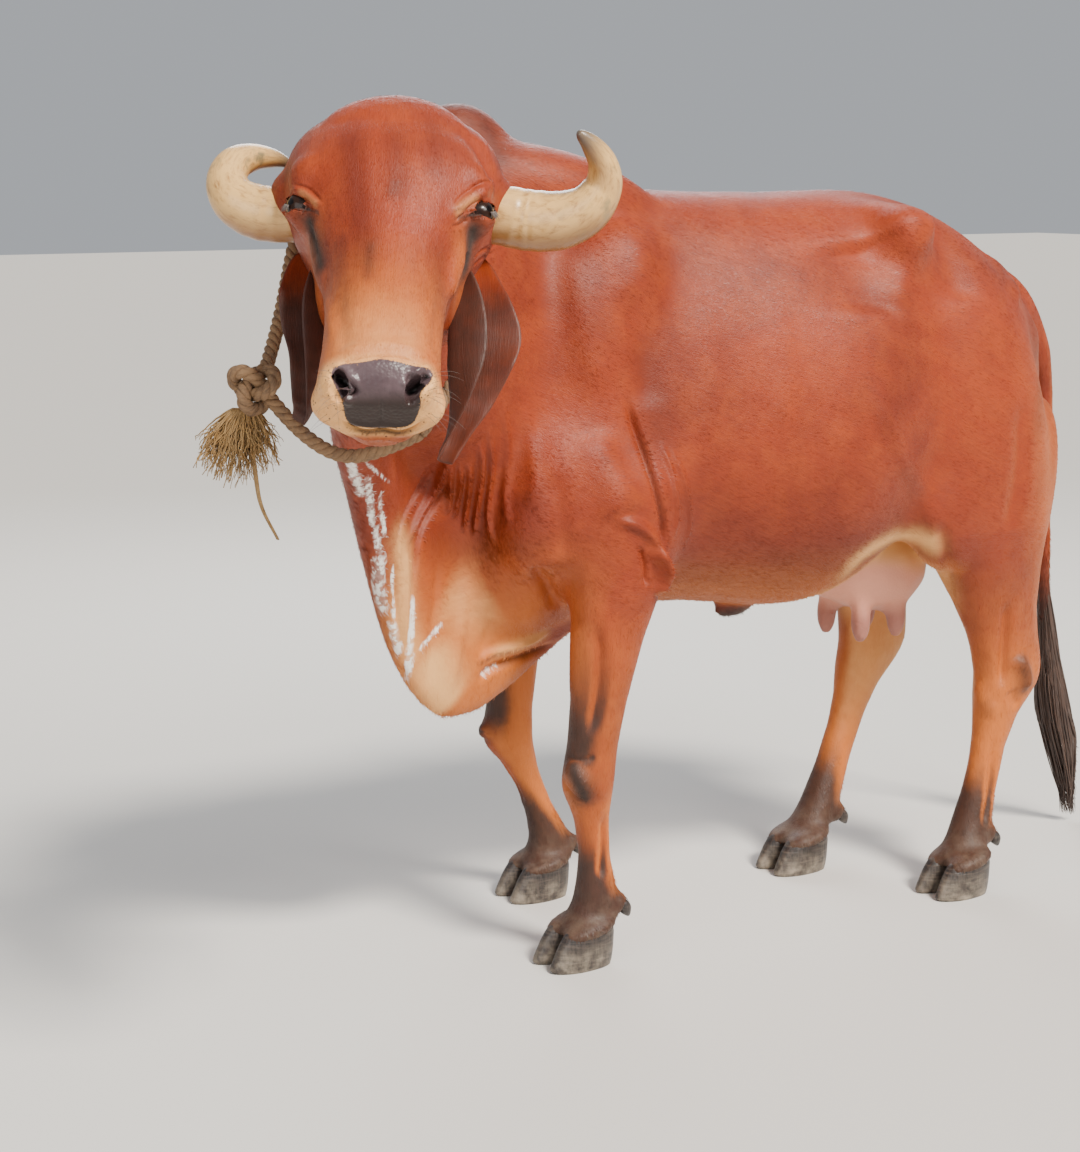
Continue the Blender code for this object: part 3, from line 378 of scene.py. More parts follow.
# soft balls in the design axes, the last in the head's: middle, radii, and where each starts and ends fading
softBalls = {
    "bagFree": ((0.035, 0.31, 0.56), (0.16, 0.17, 0.14), 0.9, 1.2),
    "navelFree": ((0.0, 0.045, 0.54), 1.0, 0.05, 0.09),
    "bagCream": ((0.035, 0.300, 0.580), (0.15, 0.185, 0.150), 0.85, 1.35),
    "bagPink": ((0.035, 0.300, 0.545), (0.125, 0.150, 0.110), 0.85, 1.15),
    "humpDark": ((0.085, -0.57, 1.44), (0.15, 0.17, 0.14), 0.5, 1.3),
    "navelDark": ((0.0, 0.040, 0.515), 1.0, 0.030, 0.062),
    "pollTufts": ((0, -0.20, -0.06), (0.09, 0.05, 0.07), 0.6, 1.1),
}
bodyNodes = ["torso", "neck", "dewlap", "hump", "udder", "navel_flap", "tail", "tail_lower"]
bodyNodes += [leg + part for leg in legNames for part in ("_upper", "_lower")]


# soft forms over the solids: middle, radii, and tilt in degrees
fleshLook = {
    "clawRoll": ((0.0265, 0.004, 0.064), (0.0320, 0.0560, 0.0190), 14),  # measured from the hoof
    "dewclawStalk": ((0.017, 0.030, -0.012), (0.0175, 0.0280, 0.0185), 30),  # measured from the fetlock
    "humpRear": ((0.045, -0.365, 1.280), (0.088, 0.215, 0.074), -14),
    "humpFront": ((0.080, -0.700, 1.285), (0.082, 0.160, 0.074), 22),
    "thighBack": ((0.155, 0.580, 0.690), (0.066, 0.070, 0.230), -14),
    "teat": ((1.05, -0.004, 0.505), (0.0205, 0.0205, 0.0480), 0),  # its first number spreads the teats
}


def extraFlesh():
    masses = []
    for place, fetlock, _ in hoofPlaces.values():
        for toe in (-1, 1):
            (across, along, high), radii, tilt = fleshLook["clawRoll"]
            masses.append((Vector((place[0] + across * toe, place[1] + along, high)), radii, tilt))
            (across, along, high), radii, tilt = fleshLook["dewclawStalk"]
            masses.append((Vector(fetlock) + Vector((across * toe, along, high)), radii, tilt))
    for name in ("humpRear", "humpFront"):
        middle, radii, tilt = fleshLook[name]
        masses.append((Vector(middle), radii, tilt))
    (across, along, high), radii, tilt = fleshLook["thighBack"]
    for side in (-1, 1):
        masses.append((Vector((across * side, along, high)), radii, tilt))
    (across, along, high), radii, tilt = fleshLook["teat"]
    for x, y in teatPlaces:
        masses.append((Vector((x * across, y + along, high)), radii, tilt))
    return masses


def fleshOf(names, cell, name, extras=()):  # the named solids, grown until they meet, as one even mesh
    work = bmesh.new()
    for middle, radii, tilt in extras:
        turn = Matrix.Rotation(math.radians(tilt), 4, "X") @ Matrix.Diagonal((*radii, 1.0))
        place = Matrix.Translation(middle + shift) @ turn
        bmesh.ops.create_icosphere(work, subdivisions=3, radius=1.0, matrix=place)
    for node in names:
        part = bmesh.new()
        part.from_mesh(nodes[node].data)
        bmesh.ops.remove_doubles(part, verts=part.verts, dist=1e-6)
        part.normal_update()
        for vert in part.verts:
            vert.co += vert.normal * skinLook["swell"]
        held = bpy.data.meshes.new("held")
        part.to_mesh(held)
        part.free()
        work.from_mesh(held)
        bpy.data.meshes.remove(held)
    mesh = bpy.data.meshes.new(name)
    work.to_mesh(mesh)
    work.free()
    item = newObject(name, mesh)
    melt = item.modifiers.new("melt", "REMESH")
    melt.mode = "VOXEL"
    melt.voxel_size = cell
    settle(item)
    largestShell(item.data)
    return item


def keepSide(mesh, place, normal):  # cuts a mesh open at a plane and keeps what the normal points to
    work = bmesh.new()
    work.from_mesh(mesh)
    geom = work.verts[:] + work.edges[:] + work.faces[:]
    bmesh.ops.bisect_plane(work, geom=geom, plane_co=place, plane_no=normal, clear_inner=True)
    work.to_mesh(mesh)
    work.free()


turnAhead = math.radians(headLook["turn"])
seamWay = Vector((math.sin(turnAhead), -math.cos(turnAhead), 0.18)).normalized()
seamPlace = onHead(0, -0.10, -0.10) - seamWay * 0.05


def pastSeam(points):  # how far ahead of the seam between neck and head
    return (points - np.array(seamPlace)) @ np.array(seamWay)


def makeSkin():
    body = fleshOf(bodyNodes + ["head"], skinLook["bodyCell"], "bodyFlesh", extraFlesh())
    points = pointsOf(body.data)
    design = points - shiftRow
    legs = 1 - smooth(design[:, 2], 0.56, 0.74)
    tail = smooth(design[:, 1], 0.655, 0.70) * (1 - smooth(design[:, 2], 0.98, 1.03))
    bag = ballShare(design, *softBalls["bagFree"])
    navel = ballShare(design, *softBalls["navelFree"])
    free = np.clip(1 - np.maximum.reduce((legs, tail, bag, navel)), 0, 1)
    eased(body, skinLook["bodyRounds"], free)
    eased(body, skinLook["legRounds"])
    face = fleshOf(["head", "neck"], skinLook["headCell"], "headFlesh")
    eased(face, skinLook["headRounds"])
    neckShare = smooth(-pastSeam(pointsOf(face.data)), -0.07, 0.0)
    eased(face, skinLook["neckRounds"], neckShare)
    keepSide(body.data, seamPlace - seamWay * skinLook["stitchBack"], -seamWay)
    keepSide(face.data, seamPlace, seamWay)
    work = bmesh.new()
    work.from_mesh(body.data)
    work.from_mesh(face.data)
    bpy.data.objects.remove(body)
    bpy.data.objects.remove(face)
    bmesh.ops.bridge_loops(work, edges=[e for e in work.edges if e.is_boundary])
    bmesh.ops.triangulate(work, faces=[f for f in work.faces if len(f.verts) > 4])
    bmesh.ops.recalc_face_normals(work, faces=work.faces)
    mesh = bpy.data.meshes.new("skin")
    work.to_mesh(mesh)
    work.free()
    mesh.shade_smooth()
    item = newObject("skin", mesh)
    near = np.exp(-((pastSeam(pointsOf(mesh)) / 0.02) ** 2))
    eased(item, skinLook["seamRounds"], near)
    setPoints(item.data, pointsOf(item.data) - normalsOf(item.data) * skinLook["coatDepth"])
    item.data.shade_smooth()
    return item


skin = makeSkin()
print("skin built", len(skin.data.vertices), "points")

# folds, hollows and wrinkles
# each stroke: places in the 1080 by 1152 picture, its radius and its height in metres (minus
# presses in), and 1 where the far side has it too
strokes = {
    "neckFoldOne": (((449, 455), (450, 475), (449, 500), (446, 516)), 0.0046, 0.0062, 0),
    "neckFoldTwo": (((460, 462), (460, 485), (456, 505), (452, 520)), 0.0042, 0.0062, 0),
    "neckFoldThree": (((469, 462), (469, 485), (466, 510), (462, 534)), 0.0042, 0.0066, 0),
    "neckFoldFour": (((480, 440), (481, 470), (478, 505), (473, 540)), 0.0048, 0.0064, 0),
    "neckFoldFive": (((489, 425), (491, 470), (489, 515), (494, 545)), 0.0050, 0.0064, 0),
    "neckFoldSix": (((503, 400), (507, 450), (506, 500), (510, 530)), 0.0070, 0.0050, 0),
    "neckFoldSeven": (((524, 400), (530, 440), (534, 480), (533, 515)), 0.0120, 0.0036, 0),
    "jawFold": (((452, 440), (442, 470), (428, 497), (415, 520), (407, 545)), 0.0062, 0.0110, 0),
    "dewlapCrease": (
        ((432, 462), (420, 488), (407, 512), (399, 540), (397, 590), (398, 640)), 0.0046, -0.0080, 0,
    ),
    "dewlapCreaseTwo": (((452, 475), (438, 500), (424, 525), (417, 552), (414, 590)), 0.0055, -0.0080, 0),
    "dewlapStep": (((376, 664), (390, 671), (405, 670)), 0.0070, -0.0080, 0),
    "dewlapStrip": (((406, 545), (407, 590), (405, 650)), 0.0060, 0.0040, 0),
    "dewlapPleatOne": (((438, 560), (434, 620), (428, 695)), 0.0100, -0.0040, 0),
    "dewlapPleatTwo": (((468, 570), (461, 630), (450, 700)), 0.0120, 0.0045, 0),
    "dewlapPleatThree": (((500, 575), (492, 620), (478, 655)), 0.0120, -0.0040, 0),
    "dewlapHem": (((553, 630), (520, 645), (492, 652), (474, 664)), 0.0070, 0.0080, 0),
    "dewlapPocket": (((556, 643), (522, 658), (494, 668), (478, 680)), 0.0080, -0.0120, 0),
    "elbowCrease": (
        ((626, 395), (634, 425), (647, 460), (658, 495), (664, 530), (662, 560)), 0.0070, -0.0120, 1,
    ),
    "elbowFlap": (((612, 520), (634, 524), (652, 538), (661, 562), (656, 590)), 0.0090, 0.0110, 1),
    "elbowHang": (((650, 545), (659, 562), (660, 580), (654, 596)), 0.0110, 0.0190, 1),
    "elbowInner": (((640, 545), (645, 565), (646, 588)), 0.0050, -0.0080, 1),
    "elbowOuter": (((660, 440), (672, 475), (677, 510), (674, 540)), 0.0060, 0.0050, 1),
    "elbowPleat": (((669, 445), (684, 480), (690, 520), (684, 548)), 0.0055, 0.0036, 1),
    "armpit": (((531, 566), (545, 583), (556, 610)), 0.0110, -0.0100, 1),
    "foreArmGroove": (((594, 620), (600, 660), (597, 700), (588, 738)), 0.0120, -0.0100, 1),
    "foreArmBulge": (((575, 620), (574, 660), (574, 705)), 0.0160, 0.0050, 1),
    "kneeCap": (((565, 766), (577, 775), (587, 792)), 0.0150, 0.0105, 1),
    "kneeWrinkleOne": (((563, 782), (575, 797), (588, 803)), 0.0040, -0.0030, 0),
    "kneeWrinkleTwo": (((566, 757), (580, 760), (596, 757)), 0.0050, -0.0030, 0),
    "hookBone": (((893, 192), (906, 215), (911, 243), (903, 278), (890, 312)), 0.0400, 0.0120, 1),
    "hookFrontDip": (((862, 205), (872, 235), (876, 270)), 0.0340, -0.0050, 1),
    "flankHollow": (((848, 238), (862, 272), (868, 318)), 0.0910, -0.0154, 1),
    "thurl": (((986, 258), (1006, 278), (1020, 305)), 0.0260, 0.0100, 1),
    "rumpHollow": (((932, 230), (952, 262), (962, 305)), 0.0420, -0.0120, 1),
    "flankFold": (((872, 380), (900, 450), (925, 500), (938, 545)), 0.0200, 0.0080, 1),
    "thighGroove": (((1022, 400), (1020, 470), (1008, 535)), 0.0180, -0.0080, 1),
    "thighFront": (((940, 520), (946, 560), (950, 605)), 0.0120, -0.0060, 1),
    "hockPoint": (((1016, 655), (1024, 672), (1026, 690)), 0.0150, 0.0150, 1),
    "hockUnder": (((1010, 690), (1018, 708)), 0.0120, -0.0060, 1),
    "hockTendon": (((1009, 600), (1005, 645), (1001, 690)), 0.0110, -0.0120, 1),
    "hockFront": (((975, 680), (985, 705), (1000, 715)), 0.0150, 0.0050, 1),
    "shankGroove": (((994, 735), (990, 790), (983, 830)), 0.0090, -0.0072, 1),
    "cannonGroove": (((603, 815), (603, 850), (600, 880)), 0.0080, -0.0064, 1),
    "bladeRidge": (((558, 235), (585, 320), (598, 400)), 0.0300, 0.0070, 1),
    "bladeBack": (((628, 285), (645, 355), (648, 412)), 0.0300, -0.0080, 1),
    "upperArm": (((588, 430), (612, 480), (622, 520)), 0.0330, 0.0110, 1),
    "armFront": (((556, 470), (560, 520), (566, 560)), 0.0160, -0.0060, 1),
    "ribOne": (((700, 300), (712, 380), (706, 450)), 0.0240, 0.0022, 1),
    "ribTwo": (((770, 290), (786, 370), (780, 440)), 0.0240, 0.0022, 1),
    "humpFront": (((452, 125), (480, 150), (500, 190)), 0.0180, -0.0040, 0),
    "browLeft": (((450, 217), (462, 205), (476, 195), (491, 190)), 0.0095, 0.0062, 0),
    "lidCreaseLeft": (((452, 224), (462, 213), (474, 203), (488, 198)), 0.0024, -0.0030, 0),
    "canthusLeft": (((451, 226), (460, 225), (468, 219)), 0.0030, -0.0034, 0),
    "browPleatOne": (((470, 189), (482, 182), (493, 181)), 0.0024, -0.0026, 0),
    "browCrease": (((448, 212), (462, 196), (478, 186), (492, 183)), 0.0026, -0.0022, 0),
    "tearLeft": (((472, 226), (468, 245), (465, 268)), 0.0060, -0.0026, 0),
    "cheekWrinkleOne": (((473, 266), (484, 257), (496, 252)), 0.0030, -0.0045, 0),
    "cheekWrinkleTwo": (((474, 258), (483, 250), (495, 246)), 0.0026, -0.0030, 0),
    "browRight": (((291, 188), (303, 191), (315, 201), (323, 213)), 0.0080, 0.0055, 0),
    "lidCreaseRight": (((292, 196), (306, 200), (318, 212)), 0.0026, -0.0033, 0),
    "browCreaseRight": (((294, 184), (310, 190), (324, 204)), 0.0028, -0.0030, 0),
    "tearRight": (((309, 222), (314, 240), (317, 262)), 0.0045, -0.0022, 0),
    "crestLeft": (((457, 272), (451, 305), (444, 340)), 0.0100, 0.0030, 0),
    "crestRight": (((323, 268), (327, 305), (334, 340)), 0.0100, 0.0030, 0),
    "cheekLeft": (((440, 290), (436, 330), (432, 350)), 0.0120, -0.0030, 0),
    "cheekRight": (((338, 290), (342, 330), (346, 350)), 0.0120, -0.0030, 0),
    "templeLeft": (((470, 130), (486, 160), (494, 185)), 0.0160, -0.0040, 0),
    "muzzleRing": (((338, 356), (360, 347), (383, 344), (407, 347), (428, 357)), 0.0090, 0.0025, 0),
    "padTop": (((334, 367), (352, 361), (378, 357), (403, 359), (423, 367)), 0.0026, -0.0020, 0),
    "padSideLeft": (((428, 382), (425, 398), (419, 415)), 0.0026, -0.0018, 0),
    "padSideRight": (((334, 386), (338, 400), (346, 418)), 0.0026, -0.0018, 0),
    "padFold": (((381, 398), (381, 412), (381, 424)), 0.0022, -0.0014, 0),
    "lipLine": (
        ((340, 419), (350, 427), (366, 432), (383, 431), (400, 433), (416, 428), (428, 418)),
        0.0034, -0.0090, 0,
    ),
    "lipUpper": (((346, 421), (366, 426), (383, 425), (400, 427), (420, 422)), 0.0040, 0.0022, 0),
    "lipLower": (((352, 435), (368, 439), (383, 438), (400, 440), (414, 435)), 0.0050, 0.0028, 0),
    "nostrilLeft": (((405, 397), (415, 387), (424, 379), (431, 373)), 0.0058, -0.0150, 0),
    "nostrilRight": (((357, 397), (348, 387), (340, 378), (333, 371)), 0.0058, -0.0150, 0),
    "nostrilRimLeft": (((401, 388), (411, 377), (422, 368), (432, 367)), 0.0050, 0.0032, 0),
    "nostrilRimRight": (((361, 388), (352, 377), (343, 368), (332, 364)), 0.0050, 0.0032, 0),
    "nostrilWingLeft": (((436, 377), (430, 388), (418, 399), (408, 406)), 0.0055, 0.0036, 0),
    "nostrilWingRight": (((328, 376), (334, 387), (344, 398), (354, 406)), 0.0055, 0.0036, 0),
}


def castLine(tree, places):  # points and facings of the skin under a line in the picture
    spots, facings = [], []
    for x, y in through(places, 22):
        hit, normal, _, _ = tree.ray_cast(Vector(cameraPlace), sightLine(x, y))
        if hit is not None and normal.dot(sightLine(x, y)) < 0.05:
            spots.append(np.array(hit))
            facings.append(np.array(normal))
    return np.array(spots), np.array(facings)


def mirrorLine(tree, spots):  # the same line on her other side
    pairs = []
    for spot in spots:
        other = (spot - shiftRow) * (-1, 1, 1) + shiftRow
        hit, normal, _, _ = tree.find_nearest(Vector(other))
        pairs.append((np.array(hit), np.array(normal)))
    return np.array([p[0] for p in pairs]), np.array([p[1] for p in pairs])


def strokeWeights(points, normals, spots, facings, radius, wrap=0.0):  # 1 on a line, fading with distance
    total = np.zeros(len(points))
    reach = 2.6 * radius
    low, high = spots.min(axis=0) - reach, spots.max(axis=0) + reach
    near = np.nonzero(np.all((points > low) & (points < high), axis=1))[0]
    if len(near) == 0:
        return total
    here = points[near]
    best = np.full(len(near), 9.0)
    share = np.zeros(len(near))
    facing = np.zeros((len(near), 3))
    for k in range(len(spots) - 1):
        a, b = spots[k], spots[k + 1]
        ahead = b - a
        if ahead @ ahead > 0.01:
            continue
        t = np.clip(((here - a) @ ahead) / (ahead @ ahead + 1e-12), 0, 1)
        gap = np.linalg.norm(here - a - t[:, None] * ahead, axis=1)
        closer = gap < best
        best[closer] = gap[closer]
        share[closer] = (k + t[closer]) / (len(spots) - 1)
        facing[closer] = facings[k]
    same = np.clip(np.einsum("ij,ij->i", normals[near], facing) * 2 + wrap, 0, 1)
    fade = smooth(share, -0.02, 0.22) * (1 - smooth(share, 0.78, 1.02))
    total[near] = np.exp(-((best / radius) ** 2)) * same * fade
    return total


def subdivideWhere(item, chosen):  # halves the cells whose corners are all chosen
    work = bmesh.new()
    work.from_mesh(item.data)
    edges = [e for e in work.edges if chosen[e.verts[0].index] and chosen[e.verts[1].index]]
    bmesh.ops.subdivide_edges(work, edges=edges, cuts=1, use_grid_fill=True)
    bmesh.ops.triangulate(work, faces=[f for f in work.faces if len(f.verts) > 4])
    work.to_mesh(item.data)
    work.free()
    item.data.shade_smooth()


def nearLine(points, spots, reach):  # the points round a line, and how far each is from it
    low, high = spots.min(axis=0) - reach, spots.max(axis=0) + reach
    inside = np.nonzero(np.all((points > low) & (points < high), axis=1))[0]
    return inside, np.linalg.norm(points[inside][:, None] - spots[None], axis=2).min(axis=1)


def finePlaces(points, lines, again):  # where the cells are halved, and where they are halved again
    design, local = points - shiftRow, headCoords(points)
    fine = np.zeros(len(points), bool)
    if again:
        for spots, _, radius, _ in lines:
            if radius < 0.0064:
                inside, gaps = nearLine(points, spots, 0.02)
                if len(inside) and pastSeam(points[inside[:1]])[0] < -0.02:
                    fine[inside[gaps < radius * 1.7 + 0.001]] = True
    else:
        for spots, _, radius, _ in lines:
            if radius < 0.0125:
                inside, gaps = nearLine(points, spots, 0.03)
                fine[inside[gaps < radius * 1.5 + 0.012]] = True
        fine[pastSeam(points) > -0.02] = False
        fine |= design[:, 2] < 0.165
        fine |= np.linalg.norm(design - (0.04, 0.31, 0.50), axis=1) < 0.125
        fine |= (local[:, 1] > 0.29) & (local[:, 2] > -0.09)
    for side in (-1, 1):
        eye = np.array(headLook["eyePlace"]) * (side, 1, 1)
        fine |= np.linalg.norm(local - eye, axis=1) < (0.042 if again else 0.060)
    return fine


def sculptSkin():
    tree = treeOf(skin.data)
    lines = []
    for places, radius, height, both in strokes.values():
        spots, facings = castLine(tree, places)
        if len(spots) > 1:
            lines.append((spots, facings, radius, height))
            if both:
                lines.append((*mirrorLine(tree, spots), radius, height))
    for again in (False, True):
        fine = finePlaces(pointsOf(skin.data), lines, again)
        subdivideWhere(skin, fine)
        share = np.ones(len(skin.data.vertices))
        share[: len(fine)] = fine
        eased(skin, 2, share)
    points, normals = pointsOf(skin.data), normalsOf(skin.data)
    rise = np.zeros(len(points))
    for spots, facings, radius, height in lines:
        rise += height * strokeWeights(points, normals, spots, facings, radius)
    setPoints(skin.data, points + normals * rise[:, None])
    skin.data.shade_smooth()


sculptSkin()
print("skin sculpted", len(skin.data.vertices), "points")

# eyelids: the skin is wrapped over each eyeball round an almond opening
lidLook = {
    "gaze": (0.74, 0.14, 0.66),
    "level": (0.50, -0.72, -0.55),
    "outer": 46.0,
    "inner": 58.0,
    "up": 10.5,
    "down": 7.5,
    "behind": 0.0045,
    "thick": 0.0034,
    "crease": 0.0016,
}


def eyeAxes(side):  # middle of the eye, its gaze, and its level and upright ways, in the head's frame
    flip = np.array((side, 1, 1))
    gaze = unit(np.array(lidLook["gaze"]) * flip)
    level = np.array(lidLook["level"]) * flip
    level = unit(level - gaze * (gaze @ level))
    upright = np.cross(gaze, level) * side
    return np.array(headLook["eyePlace"]) * flip, gaze, level, upright


def lidRatio(points, side):  # 1 on the rim of the opening, with the distance from the eye's middle
    centre, gaze, level, upright = eyeAxes(side)
    away = headCoords(points) - centre
    far = np.linalg.norm(away, axis=1) + 1e-9
    away = away / far[:, None]
    c, s = away @ level, away @ upright
    reach = np.hypot(c, s) + 1e-9
    opening = np.where(s > 0, lidLook["up"], lidLook["down"])
    wide = np.where(c > 0, lidLook["outer"], lidLook["inner"])
    edge = 1 / np.hypot(c / reach / wide, s / reach / opening)
    spread = np.degrees(np.arccos(np.clip(away @ gaze, -1, 1)))
    return spread / edge, far, spread, away


def shapeLids():
    points = pointsOf(skin.data)
    radius = headLook["eyeRadius"]
    for side in (-1, 1):
        ratio, far, spread, away = lidRatio(points, side)
        rim = 0.0006 + lidLook["thick"] * smooth(ratio, 1.0, 1.22)
        wanted = radius + rim - lidLook["crease"] * np.exp(-(((ratio - 1.75) / 0.16) ** 2))
        wanted = np.where(ratio < 1.0, radius - lidLook["behind"], wanted)
        hold = (1 - smooth(ratio, 1.7, 2.7)) * (1 - smooth(spread, 62, 84)) * (far < 0.06)
        moved = far + (wanted - far) * hold
        centre = eyeAxes(side)[0]
        local = centre + away * moved[:, None]
        changed = hold > 0
        world = local @ headAxes.T + headPlace
        points[changed] = world[changed]
    setPoints(skin.data, points)
    skin.data.shade_smooth()


shapeLids()
print("lids shaped")

# markings, kept as masks on the skin's points: picture places, radius in metres, amount, far side too
darkMarks = {
    "tearLeft": (((478, 206), (474, 226), (470, 246), (466, 264), (464, 284)), 0.0175, 1.00, 0),
    "tearRight": (((303, 198), (310, 222), (316, 244), (320, 262), (322, 280)), 0.0150, 1.00, 0),
    "foreheadSpot": (((397, 178), (394, 196)), 0.0090, 0.22, 0),
    "bridgeStripe": (((371, 236), (369, 262), (367, 284)), 0.0070, 0.40, 0),
    # painted shade along the crease between the lips
    "mouth": (((345, 426), (366, 432), (383, 431), (400, 433), (420, 427)), 0.0030, 0.90, 0),
    "kneeCallus": (((570, 752), (574, 772), (582, 790), (590, 812)), 0.0260, 1.00, 1),
    "hockBack": (((1020, 650), (1028, 672), (1026, 700)), 0.0220, 0.75, 1),
    "hockFront": (((982, 700), (992, 716)), 0.0120, 0.30, 1),
    "navel": (((728, 613), (745, 616)), 0.0160, 0.90, 0),
    # painted shade darkening the elbow crease
    "elbowCreaseShade": (((634, 425), (647, 462), (658, 500), (664, 545)), 0.0060, 0.40, 1),
    # painted shade in the pocket under the dewlap's rear fold
    "dewlapPocket": (((556, 641), (520, 656), (492, 668)), 0.0060, 0.50, 0),
}
whiteMarks = {
    "throatOne": (((348, 452), (352, 470), (358, 488), (361, 500)), 0.0100, 1.0, 0),
    "throatTwo": (((362, 458), (372, 468), (384, 478), (393, 484)), 0.0034, 0.9, 0),
    "streakOne": (((366, 470), (369, 490), (371, 512), (374, 532)), 0.0062, 1.0, 0),
    "streakTwo": (((382, 484), (380, 504), (383, 522), (386, 542)), 0.0048, 1.0, 0),
    "streakThree": (((374, 520), (377, 540), (380, 560)), 0.0060, 1.0, 0),
    "broadOne": (((382, 545), (378, 572), (379, 598), (384, 622)), 0.0125, 1.0, 0),
    "broadTwo": (((393, 558), (393, 585), (394, 610), (393, 625)), 0.0050, 1.0, 0),
    "broadThree": (((390, 615), (394, 635), (398, 650), (388, 656)), 0.0090, 1.0, 0),
    "stripOne": (((412, 586), (412, 615), (411, 640), (408, 668), (407, 690)), 0.0085, 1.0, 0),
    "stripTwo": (((446, 618), (436, 630), (424, 644), (416, 655)), 0.0060, 0.8, 0),
    "hemPatch": (((477, 676), (487, 668), (500, 662)), 0.0130, 0.6, 0),
}
creamMarks = {
    "flankEdge": (((832, 590), (862, 556), (895, 538), (924, 540), (942, 560)), 0.0210, 0.85, 1),
    "innerThigh": (((905, 560), (890, 600), (870, 640)), 0.0300, 0.50, 0),
    "dewlapFront": (((392, 520), (404, 565), (404, 620), (420, 690)), 0.0260, 0.75, 0),
    "dewlapFoot": (((425, 640), (440, 690), (455, 708)), 0.0480, 0.90, 0),
    "dewlapSide": (((440, 590), (470, 610), (500, 600)), 0.0500, 0.42, 0),
    # painted highlight: cream along the lit lower edge of the dewlap's rear fold
    "dewlapHem": (((553, 632), (520, 646), (488, 655)), 0.0140, 0.60, 1),
    "browLeft": (((454, 216), (466, 204), (482, 196)), 0.0070, 0.30, 0),
    "browRight": (((296, 190), (308, 198), (319, 208)), 0.0050, 0.25, 0),
}
# painted shade: the belly, armpit, behind-elbow, upper-leg, neck, flank and shoulder marks and the left side
# of the nose darken the coat where shade falls
deepRedAndShadeMarks = {  # places where the coat turns a deeper red
    "foreheadLeft": (((350, 112), (352, 150), (358, 200), (364, 250), (364, 290)), 0.0230, 0.85, 0),
    "foreheadMid": (((390, 118), (397, 150), (396, 185), (388, 205)), 0.0170, 0.60, 0),
    "foreheadRight": (((428, 110), (436, 150), (436, 190)), 0.0150, 0.45, 0),
    "noseLeftShade": (((340, 225), (343, 270), (347, 320)), 0.0180, 0.75, 0),
    "noseRight": (((436, 240), (438, 280), (436, 330)), 0.0150, 0.40, 0),
    "templeLeft": (((476, 112), (494, 145), (502, 180)), 0.0200, 0.70, 0),
    "templeRight": (((292, 125), (284, 155), (284, 184)), 0.0180, 0.70, 0),
    "bellyShade": (((680, 570), (760, 588), (830, 565)), 0.0600, 0.75, 1),
    "armpit": (((515, 490), (530, 520), (545, 560)), 0.0450, 0.70, 1),
    "behindElbowShade": (((680, 470), (690, 530), (695, 590)), 0.0380, 0.55, 1),
    "upperLegShade": (((575, 600), (582, 650), (582, 700)), 0.0300, 0.45, 1),
    "neckShade": (((430, 520), (460, 548), (505, 545)), 0.0480, 0.70, 0),
    "flankShade": (((905, 340), (900, 390), (880, 440)), 0.0500, 0.35, 1),
    "shoulderShade": (((640, 330), (655, 400), (665, 460)), 0.0340, 0.60, 1),
    "withers": (((560, 215), (580, 300), (560, 380)), 0.0500, 0.30, 1),
    "haunchLine": (((1030, 300), (1040, 380), (1036, 450)), 0.0260, 0.55, 1),
}
nostrilMarks = {
    "left": (((405, 398), (415, 388), (424, 380), (430, 374)), 0.0062, 1.0, 0),
    "right": (((357, 398), (348, 388), (340, 379), (334, 373)), 0.0062, 1.0, 0),
}
padOutline = (
    (333, 368), (343, 364), (355, 363), (368, 361), (378, 359), (390, 360), (402, 363), (415, 366),
    (427, 368), (433, 374), (430, 382), (424, 388), (420, 394), (421, 404), (418, 414), (413, 423),
    (404, 427), (390, 428), (375, 428), (360, 427), (350, 424), (345, 416), (343, 405), (340, 396),
    (335, 386), (331, 376),
)


def markWeights(tree, marks, points, normals):
    total = np.zeros(len(points))
    for places, radius, amount, both in marks.values():
        spots, facings = castLine(tree, places)
        if len(spots) < 2:
            continue
        total = np.maximum(total, amount * strokeWeights(points, normals, spots, facings, radius, 0.5))
        if both:
            spots, facings = mirrorLine(tree, spots)
            total = np.maximum(total, amount * strokeWeights(points, normals, spots, facings, radius, 0.5))
    return total


def insideOutline(places, outline, soft):  # signed, in picture units, eased over a soft edge
    inside = np.zeros(len(places), bool)
    gap = np.full(len(places), 99.0)
    outline = through(tuple(outline) + (outline[0],), 4 * len(outline) + 1)
    for a, b in zip(outline, outline[1:]):
        crosses = (a[1] > places[:, 1]) != (b[1] > places[:, 1])
        side = places[:, 0] < (b[0] - a[0]) * (places[:, 1] - a[1]) / (b[1] - a[1] + 1e-9) + a[0]
        inside ^= crosses & side
        t = np.clip(((places - a) @ (b - a)) / ((b - a) @ (b - a)), 0, 1)
        gap = np.minimum(gap, np.linalg.norm(places - a - t[:, None] * (b - a), axis=1))
    return smooth(np.where(inside, gap, -gap), -soft, soft)


backWay = (0, 0.90, -0.43)


def strongest(*layers):
    return np.maximum.reduce(layers)


